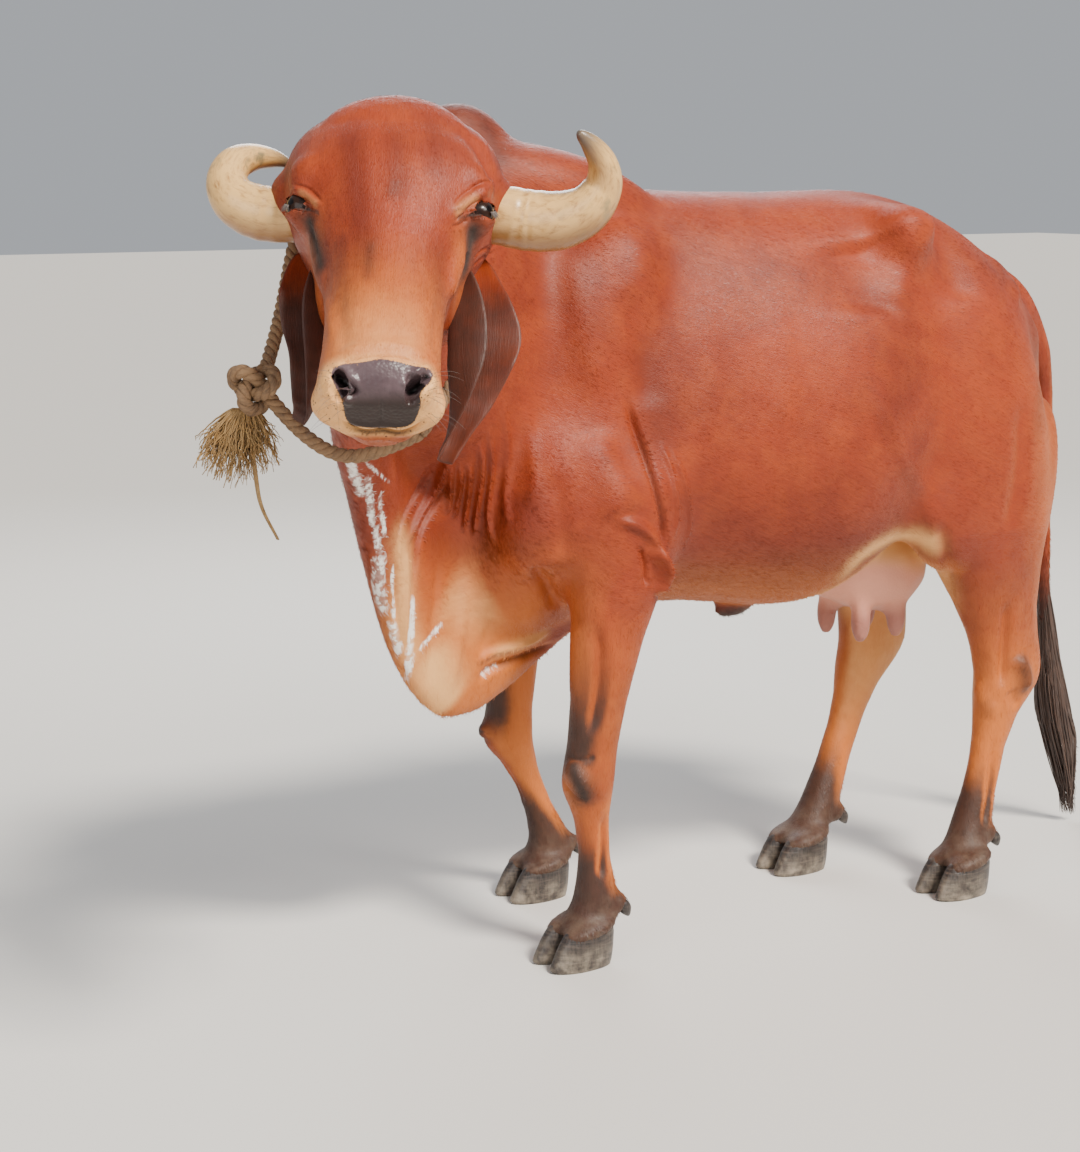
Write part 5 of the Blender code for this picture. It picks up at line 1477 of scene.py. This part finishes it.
def makeEyeMaterial():
    made, tree, shader = newMaterial("eye")
    place = addNode(tree, "ShaderNodeTexCoord").outputs["Object"]
    fibres = noise(tree, place, 900.0, 3.0, 0.6)
    base = blend(tree, fibres, eyeLook["brown"], eyeLook["rim"])
    base = blend(tree, attribute(tree, "sclera"), base, eyeLook["white"])
    base = blend(tree, attribute(tree, "limbus"), base, eyeLook["rim"])
    base = blend(tree, attribute(tree, "pupil"), base, eyeLook["black"])
    tree.links.new(base, shader.inputs["Base Color"])
    shader.inputs["Roughness"].default_value = eyeLook["roughness"]
    shader.inputs["IOR"].default_value = eyeLook["refraction"]
    shader.inputs["Coat Weight"].default_value = eyeLook["wet"]
    shader.inputs["Coat Roughness"].default_value = eyeLook["wetRoughness"]
    return made


eyeMaterial = makeEyeMaterial()


def makeEye(name, side, node):
    centre, gaze, level, upright = eyeAxes(side)
    mesh = ballMesh(name, 5)
    ways = pointsOf(mesh)
    spread = np.degrees(np.arccos(np.clip(ways @ gaze, -1, 1)))
    bulge = eyeLook["cornea"] * (1 - smooth(spread, 10, eyeLook["iris"] + 4))
    local = centre + ways * (headLook["eyeRadius"] + bulge)[:, None]
    setPoints(mesh, local @ headAxes.T + headPlace)
    finishNormals(mesh)
    across, high = np.degrees(ways @ level), np.degrees(ways @ upright)
    oval = np.hypot(across / eyeLook["pupil"][0], high / eyeLook["pupil"][1])
    front = ways @ gaze > 0
    setMask(mesh, "pupil", (1 - smooth(oval, 0.85, 1.1)) * front)
    setMask(mesh, "sclera", smooth(spread, eyeLook["iris"] + 3, eyeLook["iris"] + 14))
    setMask(mesh, "limbus", np.exp(-(((spread - eyeLook["iris"]) / 5) ** 2)) * 0.9)
    mesh.materials.append(eyeMaterial)
    item = newObject(name, mesh)
    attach(item, "root")
    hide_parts(node)


makeEye("leftEye", 1, "left_eye")
makeEye("rightEye", -1, "right_eye")
print("eyes ready")

# hooves: two claws and two dewclaws a leg; each row: height, how far ahead, share of length and of width
hoofLook = {
    "length": 0.060,
    "width": 0.0255,
    "spread": 3.5,
    "apart": 0.0018,
    "rows": (
        (0.0000, 0.010, 0.97, 0.90), (0.0040, 0.012, 1.02, 0.97), (0.0120, 0.010, 1.02, 1.00),
        (0.0280, 0.005, 0.97, 1.00), (0.0450, 0.000, 0.90, 0.97), (0.0600, -0.006, 0.80, 0.90),
        (0.0680, -0.010, 0.66, 0.74), (0.0740, -0.014, 0.46, 0.52),
    ),
    "sides": 40,
    "dewclaw": (0.0098, 0.0112, 0.0180),
    "dewclawTilt": 28,
    "horn": (0.040, 0.030, 0.026, 1),
    "dark": (0.014, 0.011, 0.010, 1),
    "pale": (0.150, 0.115, 0.090, 1),
    "dust": (0.520, 0.430, 0.320, 1),
    "dusty": {"Reach": 0.050, "Amount": 0.60},
    "tall": (1.0, 1.0, 0.10),
    "flat": (0.12, 0.12, 1.0),
    "roughness": 0.36,
    "lineDepth": 0.0015,
}


def makeHoofMaterial():
    made, tree, shader = newMaterial("hoof")
    place = addNode(tree, "ShaderNodeTexCoord").outputs["Object"]
    tall = addNode(tree, "ShaderNodeMapping", {"Vector": place, "Scale": hoofLook["tall"]}).outputs[0]
    flat = addNode(tree, "ShaderNodeMapping", {"Vector": place, "Scale": hoofLook["flat"]}).outputs[0]
    grain = noise(tree, tall, 260.0, 4.0, 0.6)
    rings = noise(tree, flat, 190.0, 3.0, 0.55, 0.3)
    base = blend(tree, ranged(tree, grain, 0.35, 0.65), hoofLook["horn"], hoofLook["dark"])
    base = blend(tree, times(tree, ranged(tree, rings, 0.45, 0.7), 0.35), base, hoofLook["pale"])
    dusty = useGroup(tree, dustGroup, {"Vector": place, **hoofLook["dusty"]})["Mask"]
    base = blend(tree, dusty, base, hoofLook["dust"])
    tree.links.new(base, shader.inputs["Base Color"])
    rough = plus(tree, times(tree, dusty, 0.45), hoofLook["roughness"])
    tree.links.new(rough, shader.inputs["Roughness"])
    height = plus(tree, rings, times(tree, grain, 0.4))
    addBump(tree, shader, height, 0.6, hoofLook["lineDepth"])
    return made


hoofMaterial = makeHoofMaterial()


def makeClaw(name, place, toe, node):
    sides = hoofLook["sides"]
    rows = through(hoofLook["rows"], 40)
    rows[:, 0] = np.maximum(rows[:, 0], 0)
    angles = np.arange(sides) * math.tau / sides
    c, s = np.cos(angles), np.sin(angles)
    points = []
    for z, ahead, length, width in rows:
        across = hoofLook["width"] * width * np.sign(c) * np.abs(c) ** (2 / 2.3)
        deep = hoofLook["length"] * length * np.sign(s) * np.abs(s) ** (2 / 2.3)
        deep = np.where(s < 0, deep, deep * 0.92)
        across = across * np.where(s < 0, 1 - 0.16 * np.abs(s) ** 2, 1) - toe * 0.004 * np.clip(-s, 0, 1) ** 2
        points.append(np.stack([across, -ahead + deep, np.full(sides, z)], axis=1))
    turned = turnedBy(np.array(points).reshape(-1, 3), hoofLook["spread"] * toe, 0, 1)
    turned[:, 0] += (hoofLook["width"] + hoofLook["apart"]) * toe + place[0]
    turned[:, 1] += place[1]
    mesh = meshFrom(name, turned + shiftRow, ringFaces(len(rows), sides))
    finishNormals(mesh)
    mesh.materials.append(hoofMaterial)
    item = newObject(name, mesh)
    sharp = item.modifiers.new("crisp", "EDGE_SPLIT")
    sharp.split_angle = math.radians(50)
    settle(item)
    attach(item, "root")
    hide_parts(node)


def makeDewclaw(name, node):
    low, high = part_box(node)
    middle = np.array((low + high) / 2)
    mesh = ballMesh(name, 4)
    ways = pointsOf(mesh)
    taper = 1 - 0.35 * smooth(-ways[:, 2], 0.0, 1.0)
    local = ways * np.array(hoofLook["dewclaw"]) * np.stack([taper, taper, np.ones(len(taper))], axis=1)
    setPoints(mesh, turnedBy(local, hoofLook["dewclawTilt"], 1, 2) + middle)
    mesh.materials.append(hoofMaterial)
    item = newObject(name, mesh)
    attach(item, "root")
    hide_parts(node)


for leg, (place, _, side) in hoofPlaces.items():
    words = leg.split("_")
    label = words[0] + words[1].capitalize()
    for which, toe in (("outer", side), ("inner", -side)):
        makeClaw(f"{label}{which.capitalize()}Claw", place, toe, f"{leg}_{which}_claw")
        makeDewclaw(f"{label}{which.capitalize()}Dewclaw", f"{leg}_{which}_dewclaw")
print("hooves ready")

# rope: three strands laid round each other, closed by a knot with a frayed end
ropeLook = {
    "radius": 0.0100,
    "strand": 0.0056,
    "strandSides": 14,
    "off": 0.0048,
    "pitch": 0.038,
    "knot": (0.392, -1.075, 1.030),
    "knotSize": 0.0104,
    "fibres": 330,
    "right": (
        (0.345, -0.830, 1.392), (0.296, -0.915, 1.330), (0.292, -0.962, 1.220), (0.335, -1.005, 1.125),
        (0.392, -1.060, 1.045),
    ),
    "throat": (
        (0.398, -1.060, 1.020), (0.412, -1.010, 0.960), (0.430, -0.945, 0.925), (0.470, -0.860, 0.960),
    ),
    "left": (
        (0.470, -0.860, 0.960), (0.475, -0.795, 1.050), (0.450, -0.755, 1.160), (0.425, -0.752, 1.270),
        (0.390, -0.785, 1.365), (0.345, -0.830, 1.392),
    ),
    "tan": (0.250, 0.145, 0.070, 1),
    "grey": (0.085, 0.050, 0.032, 1),
    "pale": (0.420, 0.270, 0.120, 1),
    "gold": (0.480, 0.270, 0.080, 1),
    "roughness": 0.85,
    "hair": {"Fineness": 9.0, "Length": 3.0},
    "patch": {"Scale": 40.0, "Low": 0.35, "High": 0.65},
    "hairDepth": 0.0012,
}


def barLie(tree):  # coordinates round and along a bar
    inputs = {"X": attribute(tree, "around"), "Z": attribute(tree, "along")}
    return addNode(tree, "ShaderNodeCombineXYZ", inputs).outputs[0]


def makeRopeMaterial(name, bright):
    made, tree, shader = newMaterial(name)
    place = addNode(tree, "ShaderNodeTexCoord").outputs["Object"]
    lie = barLie(tree)
    hair = useGroup(tree, hairGroup, {"Lie": lie, **ropeLook["hair"]})
    patch = useGroup(tree, mottleGroup, {"Vector": place, **ropeLook["patch"]})["Mask"]
    base = blend(tree, hair["Tone"], ropeLook["grey"], ropeLook["gold" if bright else "tan"])
    base = blend(tree, times(tree, patch, 0.55), base, ropeLook["pale" if bright else "tan"])
    tree.links.new(base, shader.inputs["Base Color"])
    shader.inputs["Roughness"].default_value = ropeLook["roughness"]
    addBump(tree, shader, hair["Height"], 0.8, ropeLook["hairDepth"])
    return made


ropeMaterial = makeRopeMaterial("rope", False)
fibreMaterial = makeRopeMaterial("fibre", True)
skinTree = treeOf(skin.data)


def laidOn(points, clear):  # lifted off the skin wherever they come too near
    placed = []
    for point in points:
        spot, normal, _, far = skinTree.find_nearest(Vector(point))
        if (Vector(point) - spot).dot(normal) < 0 or far < clear:
            point = np.array(spot + normal * clear)
        placed.append(point)
    return np.array(placed)


def ropeRoute(rows, count):
    points = through(rows, 4 * len(rows) - 3) + shiftRow
    for _ in range(3):
        points = laidOn(points, ropeLook["radius"] + 0.003)
        points[1:-1] = (points[:-2] + points[1:-1] * 2 + points[2:]) / 4
    return through(laidOn(points, ropeLook["radius"] + 0.002), count)


def strandsAlong(route, start):  # three strands twisted round a route
    steps = np.linalg.norm(np.diff(route, axis=0), axis=1)
    travel = np.concatenate([[0], np.cumsum(steps)]) + start
    ahead = np.gradient(route, axis=0)
    ahead /= np.linalg.norm(ahead, axis=1)[:, None]
    side = np.cross(ahead[0], (0, 0, 1.0))
    verts, faces, along, around, frames = [], [], [], [], []
    sides = ropeLook["strandSides"]
    for k in range(len(route)):
        side = side - ahead[k] * (side @ ahead[k])
        side = side / np.linalg.norm(side)
        frames.append((side, np.cross(side, ahead[k])))
    for strand in range(3):
        angle = travel / ropeLook["pitch"] * math.tau + strand * math.tau / 3
        path = []
        for k, (level, upright) in enumerate(frames):
            swing = math.cos(angle[k]) * level + math.sin(angle[k]) * upright
            path.append(route[k] + ropeLook["off"] * swing)
        rings = sweep(path, np.full(len(path), ropeLook["strand"]), sides)
        faces += ringFaces(len(path), sides, sum(len(v) for v in verts))
        verts.append(rings.reshape(-1, 3))
        along.append(np.repeat(travel * 12, sides))
        across = np.tile(np.abs(np.arange(sides) * 2.0 / sides - 1), len(path))
        around.append(across + np.repeat(angle * 0.4, sides) + strand * 3)
    return np.vstack(verts), faces, np.concatenate(along), np.concatenate(around)


def makeRope(name, route, node, start=0.0):
    verts, faces, along, around = strandsAlong(route, start)
    mesh = meshFrom(name, verts, faces)
    setMask(mesh, "along", along)
    setMask(mesh, "around", around)
    mesh.materials.append(ropeMaterial)
    item = newObject(name, mesh)
    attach(item, "root")
    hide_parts(node)


makeRope("ropeRight", ropeRoute(ropeLook["right"], 150), "rope_right")
makeRope("ropeThroat", ropeRoute(ropeLook["throat"], 90), "rope_throat", 0.01)
makeRope("ropeLeft", ropeRoute(ropeLook["left"], 200), "rope_left", 0.02)


def makeKnot():  # a closed overhand knot that faces the viewer
    t = np.linspace(0, math.tau, 241)
    spots = np.stack([
        np.sin(t) + 2 * np.sin(2 * t), -np.sin(3 * t) * 1.15, np.cos(t) - 2 * np.cos(2 * t),
    ], axis=1) * ropeLook["knotSize"]
    route = turnedBy(spots, headLook["turn"], 0, 1)
    makeRope("ropeKnot", route + np.array(ropeLook["knot"]) + shiftRow, "rope_knot")


makeKnot()


def strandsMesh(name, routes, radii, sides, flat, material):  # many thin bars joined in one mesh
    verts, faces, along, around = [], [], [], []
    total = 0
    for k, (route, radius) in enumerate(zip(routes, radii)):
        rings = sweep(route, radius, sides, flat)
        faces += ringFaces(len(route), sides, total)
        total += rings.shape[0] * sides
        verts.append(rings.reshape(-1, 3))
        travel = np.concatenate([[0], np.cumsum(np.linalg.norm(np.diff(route, axis=0), axis=1))])
        along.append(np.repeat(travel * 12 + k * 1.7, sides))
        around.append(np.tile(np.arange(sides) / sides, len(route)) + k * 0.37)
    mesh = meshFrom(name, np.vstack(verts), faces)
    setMask(mesh, "along", np.concatenate(along))
    setMask(mesh, "around", np.concatenate(around))
    mesh.materials.append(material)
    return newObject(name, mesh)


def makeRopeTuft():
    draw = np.random.default_rng(11)
    turn = math.radians(headLook["turn"])
    level = np.array((math.cos(turn), math.sin(turn), 0))
    deep = np.array((math.sin(turn), -math.cos(turn), 0))
    root = np.array(ropeLook["knot"]) + shiftRow - level * 0.012 + (0, 0, -0.030)
    routes, radii = [], []
    for _ in range(ropeLook["fibres"]):
        spread = draw.uniform(-0.066, 0.040) + draw.normal() * 0.004
        length = draw.uniform(0.055, 0.112) * (1 - 0.25 * abs(spread + 0.015) / 0.05)
        out = draw.uniform(-0.024, 0.028)
        share = np.linspace(0, 1, 12)[:, None]
        path = root + level * (spread * (0.25 + 0.85 * share**0.8)) + deep * out * share
        path = path - np.array((0, 0, 1.0)) * length * share
        jitter = draw.normal(size=(12, 3)) * 0.0011
        wave = np.sin(share * draw.uniform(6, 16) + draw.uniform(0, 6))
        curl = jitter + wave * (level * draw.normal() + deep * draw.normal()) * 0.0028
        path = path + curl * smooth(share, 0.1, 0.6)
        routes.append(path)
        radii.append(np.linspace(1, 0.35, 12) * draw.uniform(0.0008, 0.0017))
    knots = [root] + [
        root + level * out - (0, 0, low) for out, low in ((0.010, 0.085), (0.018, 0.135), (0.040, 0.182))
    ]
    for off in (-0.0014, 0.0012, 0.0002):
        path = through(knots, 40) + level * off + deep * off * 1.3
        routes.append(path)
        radii.append(np.linspace(0.0028, 0.0012, 40))
    item = strandsMesh("ropeTuft", routes, radii, 4, 1.0, fibreMaterial)
    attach(item, "root")
    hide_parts("rope_tuft")


makeRopeTuft()
print("rope ready")

# tail switch: long tapered locks that leave the last of the tail
switchLook = {
    "root": (0.000, 0.824, 0.430),
    "locks": 420,
    "black": (0.020, 0.014, 0.013, 1),
    "brown": (0.085, 0.045, 0.030, 1),
    "grey": (0.130, 0.100, 0.090, 1),
    "roughness": 0.42,
    "hair": {"Fineness": 14.0, "Length": 0.25},
    "hairDepth": 0.0010,
}


def makeSwitchMaterial():
    made, tree, shader = newMaterial("tailHair")
    lie = barLie(tree)
    hair = useGroup(tree, hairGroup, {"Lie": lie, **switchLook["hair"]})
    base = blend(tree, hair["Tone"], switchLook["black"], switchLook["brown"])
    stray = noise(tree, lie, 2.3, 2.0, 0.5)
    base = blend(tree, times(tree, ranged(tree, stray, 0.55, 0.75), 0.6), base, switchLook["grey"])
    tree.links.new(base, shader.inputs["Base Color"])
    rough = plus(tree, times(tree, hair["Tone"], 0.2), switchLook["roughness"])
    tree.links.new(rough, shader.inputs["Roughness"])
    addBump(tree, shader, hair["Height"], 0.7, switchLook["hairDepth"])
    return made


def makeSwitch():
    draw = np.random.default_rng(3)
    root = np.array(switchLook["root"]) + shiftRow
    routes, radii = [], []
    for _ in range(switchLook["locks"]):
        angle = draw.uniform(0, math.tau)
        out = np.array((math.cos(angle), 0.62 * math.sin(angle), 0))
        start = draw.uniform(-0.10, 0.09)
        low = 0.016 + draw.random() ** 1.6 * 0.14
        deep = draw.uniform(0.25, 1.0) ** 0.6
        top = root + (0, -0.016 * start / 0.1, start) + out * 0.013
        drift = np.array((0.002, 0.086, 0))
        twist = np.cross(out, (0, 0, 1.0)) * draw.uniform(-0.016, 0.016)
        knots = (
            top,
            root + (0, 0.008, -0.075 + start * 0.5) + out * 0.023 * deep,
            root + (0, 0.034, -0.200) + out * 0.038 * deep + twist,
            np.array((root[0], root[1], low * 0.5 + 0.115)) + drift * 0.72 + out * 0.030 * deep + twist * 0.6,
            np.array((root[0], root[1], low)) + drift + out * 0.010 * deep - twist,
        )
        route = through(knots, 16)
        wave = np.sin(np.linspace(0, draw.uniform(3, 8), 16) + draw.uniform(0, 6))[:, None]
        route = route + wave * np.cross(out, (0, 0, 1.0)) * 0.0022 * np.linspace(0, 1, 16)[:, None]
        routes.append(route)
        shape = np.interp(np.linspace(0, 1, 16), (0, 0.2, 0.7, 1.0), (0.5, 1.0, 0.8, 0.1))
        radii.append(shape * draw.uniform(0.0016, 0.0034))
    item = strandsMesh("tailSwitch", routes, radii, 5, 0.55, makeSwitchMaterial())
    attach(item, "root")
    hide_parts("tail_switch")


makeSwitch()
print("tail switch ready")

# dark lashes that droop from each upper lid, and a few whiskers on the sides of the muzzle
lashLook = {
    "count": 46,
    "length": (0.008, 0.012),
    "radius": 0.00042,
    "whiskers": {"count": 30, "length": (0.016, 0.036), "radius": 0.00024},
    "colour": (0.030, 0.020, 0.016, 1),
    "tip": (0.110, 0.085, 0.075, 1),
    "roughness": 0.45,
}


def makeLashes():
    made, tree, shader = newMaterial("lash")
    tone = blend(tree, ranged(tree, attribute(tree, "along"), 0.2, 0.9), lashLook["colour"], lashLook["tip"])
    tree.links.new(tone, shader.inputs["Base Color"])
    shader.inputs["Roughness"].default_value = lashLook["roughness"]
    draw = np.random.default_rng(9)
    routes, radii = [], []
    for side in (-1, 1):
        centre, gaze, level, upright = eyeAxes(side)
        for _ in range(lashLook["count"]):
            angle = math.radians(draw.uniform(24, 130))
            c, s = math.cos(angle), math.sin(angle)
            wide = lidLook["outer"] if c > 0 else lidLook["inner"]
            edge = math.radians(1 / math.hypot(c / wide, s / lidLook["up"])) * 1.06
            toward = gaze * math.cos(edge) + (level * c + upright * s) * math.sin(edge)
            out = toward * 0.35 + gaze * 0.20
            length = draw.uniform(*lashLook["length"]) * (1 - 0.45 * max(-c, 0))
            share = np.linspace(0, 1, 7)[:, None]
            start = centre + toward * (headLook["eyeRadius"] + 0.0030)
            droop = np.array((0.0, 0.0, -1.0)) @ headAxes
            path = start + out * length * share + droop * length * share**1.2
            path = path + draw.normal(size=3) * 0.0012 * share
            routes.append(path @ headAxes.T + headPlace)
            radii.append(np.linspace(1, 0.25, 7) * lashLook["radius"])
    whiskers = lashLook["whiskers"]
    tree = treeOf(skin.data)
    for k in range(whiskers["count"]):
        side = 1 if k % 2 else -1
        x, y = 384 + side * draw.uniform(40, 58), draw.uniform(372, 426)
        hit, normal, _, _ = tree.ray_cast(Vector(cameraPlace), sightLine(x, y))
        if hit is None or headCoords(np.array([hit]))[0, 1] < 0.24:
            continue
        share = np.linspace(0, 1, 9)[:, None]
        length = draw.uniform(*whiskers["length"])
        out = unit(np.array(normal) + cameraRight * side * 0.9 + draw.normal(size=3) * 0.25)
        path = np.array(hit) + out * length * share - np.array((0, 0, 1)) * length * 0.35 * share**2
        routes.append(path)
        radii.append(np.linspace(1, 0.3, 9) * whiskers["radius"])
    item = strandsMesh("lashes", routes, radii, 4, 1.0, made)
    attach(item, "root")
    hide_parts("head")


makeLashes()
print("lashes ready")

# short coat: thin flat tufts that lie along the body, longer where they break its outline
tuftLook = {
    "body": {"count": 62000, "length": (0.008, 0.013), "width": 0.0008, "lift": 0.045, "ragged": 0.16},
    "limbs": {"count": 26000, "length": (0.006, 0.010), "width": 0.0007, "lift": 0.06, "ragged": 0.16},
    "head": {"count": 30000, "length": (0.0035, 0.0060), "width": 0.0005, "lift": 0.06, "ragged": 0.16},
    "edges": {"count": 24000, "length": (0.008, 0.016), "width": 0.0007, "lift": 0.15, "ragged": 0.24},
    "sunk": 0.0004,
    "patch": 0.003,
    "guideShare": 0.035,
}


def skinUnwrap():  # a light copy of the skin, unwrapped, from which each tuft reads its place
    proxy = newObject("unwrapGuide", skin.data.copy())
    proxy.modifiers.new("thin", "DECIMATE").ratio = tuftLook["guideShare"]
    settle(proxy)
    for other in bpy.context.selected_objects:
        other.select_set(False)
    bpy.context.view_layer.objects.active = proxy
    proxy.select_set(True)
    bpy.ops.object.mode_set(mode="EDIT")
    bpy.ops.mesh.select_all(action="SELECT")
    bpy.ops.uv.smart_project(angle_limit=math.radians(66), island_margin=0.004)
    bpy.ops.object.mode_set(mode="OBJECT")
    mesh = proxy.data
    mesh.calc_loop_triangles()
    points = pointsOf(mesh)
    corners = np.array([t.vertices[:] for t in mesh.loop_triangles])
    loops = np.array([t.loops[:] for t in mesh.loop_triangles])
    uv = np.zeros(len(mesh.loops) * 2, np.float32)
    mesh.uv_layers.active.data.foreach_get("uv", uv)
    uv = uv.reshape(-1, 2)
    tree = BVHTree.FromPolygons([tuple(p) for p in points], [tuple(c) for c in corners])
    bpy.data.objects.remove(proxy)
    return tree, points[corners], uv[loops]


guideTree, guideCorners, guideUv = skinUnwrap()


def unwrapPlaces(roots):
    found = [guideTree.find_nearest(Vector(root)) for root in roots]
    index = np.array([f[2] for f in found])
    spot = np.array([f[0] for f in found])
    a, b, c = (guideCorners[index, k] for k in range(3))
    e1, e2, e3 = b - a, c - a, spot - a
    d11, d12, d22 = (np.einsum("ij,ij->i", p, q) for p, q in ((e1, e1), (e1, e2), (e2, e2)))
    d31, d32 = (np.einsum("ij,ij->i", e3, q) for q in (e1, e2))
    low = d11 * d22 - d12 * d12 + 1e-18
    v, w = (d22 * d31 - d12 * d32) / low, (d11 * d32 - d12 * d31) / low
    share = np.stack([1 - v - w, v, w], axis=1)
    return np.einsum("ij,ijk->ik", share, guideUv[index])


def skinTriangles():
    mesh = skin.data
    mesh.calc_loop_triangles()
    corners = np.zeros(len(mesh.loop_triangles) * 3, np.int32)
    mesh.loop_triangles.foreach_get("vertices", corners)
    return corners.reshape(-1, 3)


skinCorners = skinTriangles()
skinPoints, skinNormals = pointsOf(skin.data), normalsOf(skin.data)
lieField = np.zeros(len(skinPoints) * 3, np.float32)
skin.data.attributes["lie"].data.foreach_get("vector", lieField)
lieField = lieField.reshape(-1, 3)


def coatWay(points, limb, headPart):  # which way the hair lies
    back = np.tile(unit(backWay), (len(points), 1))
    down = np.tile((0, 0.10, -1.0), (len(points), 1))
    nose = np.tile(headAxes[:, 1], (len(points), 1))
    way = back * (1 - limb[:, None]) + down * limb[:, None]
    way = way * (1 - headPart[:, None]) + nose * headPart[:, None]
    swirl = np.sin(points * 9.0 + 1.3)[:, (1, 2, 0)] * 0.22 + np.sin(points * 23.0)[:, (2, 0, 1)] * 0.12
    return way + swirl


def growTufts(name, zone, density, seed):
    look = tuftLook[zone]
    count = look["count"]
    draw = np.random.default_rng(seed)
    tri = skinPoints[skinCorners]
    area = np.linalg.norm(np.cross(tri[:, 1] - tri[:, 0], tri[:, 2] - tri[:, 0]), axis=1)
    chance = area * density[skinCorners].mean(axis=1)
    chosen = draw.choice(len(tri), count, p=chance / chance.sum())
    share = draw.dirichlet((1, 1, 1), count)
    corners = skinCorners[chosen]

    def mixed(values):
        return np.einsum("ij,ij...->i...", share, values[corners])

    roots = mixed(skinPoints)
    normals = mixed(skinNormals)
    normals /= np.linalg.norm(normals, axis=1)[:, None]
    way = coatWay(roots, mixed(limbShare), mixed(headShare))
    way = way + draw.normal(size=way.shape) * look["ragged"]
    way -= normals * np.einsum("ij,ij->i", way, normals)[:, None]
    way /= np.linalg.norm(way, axis=1)[:, None] + 1e-9
    wide = np.cross(normals, way)
    length = draw.uniform(*look["length"], count)[:, None]
    width = look["width"] * draw.uniform(0.6, 1.3, count)[:, None]
    lift = look["lift"] * draw.uniform(0.3, 1.4, count)[:, None]
    base = roots - normals * tuftLook["sunk"]
    middle = base + way * length * 0.5 + normals * (length * lift * 0.65 + tuftLook["sunk"])
    tip = base + way * length + normals * (length * lift + tuftLook["sunk"])
    tip = tip + wide * width * draw.normal(size=width.shape)
    half = wide * width
    verts = np.stack([base - half, base + half, middle + half * 0.8, middle - half * 0.8, tip], axis=1)
    mesh = bpy.data.meshes.new(name)
    mesh.vertices.add(count * 5)
    mesh.vertices.foreach_set("co", verts.astype(np.float32).ravel())
    start = np.arange(count)[:, None] * 5
    loops = np.concatenate([start + (0, 1, 2, 3), start + (3, 2, 4)], axis=1).astype(np.int32)
    mesh.loops.add(count * 7)
    mesh.loops.foreach_set("vertex_index", loops.ravel())
    mesh.polygons.add(count * 2)
    begins = (np.arange(count)[:, None] * 7 + (0, 4)).astype(np.int32)
    mesh.polygons.foreach_set("loop_start", begins.ravel())
    mesh.update(calc_edges=True)
    mesh.shade_smooth()
    corner = np.array([(-1, -1), (1, -1), (1, 0), (-1, 0), (0, 1)]) * tuftLook["patch"] / 2
    uv = unwrapPlaces(roots)[:, None] + corner
    layer = mesh.uv_layers.new(name="OFBake")
    layer.data.foreach_set("uv", uv.reshape(-1, 2)[loops.ravel()].astype(np.float32).ravel())
    for key, values in skinMasks.items():
        setMask(mesh, key, np.repeat(mixed(np.clip(values, 0, 1)), 5))
    setLie(mesh, np.repeat(mixed(lieField) + draw.normal(size=(count, 3)) * 0.0010, 5, axis=0))
    mesh.materials.append(tuftMaterial)
    item = newObject(name, mesh)
    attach(item, "root")
    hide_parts(*bodyNodes, "head")


tuftMaterial = makeCoatMaterial("coatTufts", 0.0)


def growCoat():  # the edges zone is where tufts break the outline: underside, poll, fetlocks, tail and back
    design, local = skinPoints - shiftRow, headCoords(skinPoints)
    x, y, z = design.T
    bare = np.clip(np.maximum(skinMasks["pad"], skinMasks["pink"]) * 1.5, 0, 1)
    for side in (-1, 1):
        ratio, far, _, _ = lidRatio(skinPoints, side)
        bare = np.where((far < 0.05) & (ratio < 1.12), 1.0, bare)
    hairy = 1 - bare
    bodyShare = 1 - headShare
    limb = limbShare * bodyShare
    edges = 1.4 * np.exp(-((skinNormals[:, 2] + 1) / 0.35) ** 2) * (z > 0.40) * (z < 0.75) * bodyShare
    front = (1 - smooth(y, -0.56, -0.50)) * smooth(-skinNormals[:, 1], 0.5, 0.9)
    edges += 2.0 * front * (z < 0.95) * bodyShare
    edges += 5.0 * ballShare(local, *softBalls["pollTufts"])
    edges += 3.0 * smooth(skinNormals[:, 1], 0.2, 0.8) * (z > 0.09) * (z < 0.17)
    edges += 3.0 * smooth(y, 0.70, 0.74) * (z < 0.62)
    edges += 0.8 * smooth(skinNormals[:, 2], 0.8, 1.0) * (z > 1.15) * (np.abs(x) < 0.05)
    growTufts("coatBody", "body", hairy * (1 - limb) * bodyShare + 1e-9, 21)
    growTufts("coatLimbs", "limbs", hairy * limb + 1e-9, 22)
    growTufts("coatHead", "head", hairy * headShare + 1e-9, 23)
    growTufts("coatEdges", "edges", hairy * edges + 1e-9, 24)


growCoat()
print("coat grown")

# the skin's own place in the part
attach(skin, "root")
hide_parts(*bodyNodes, "head")
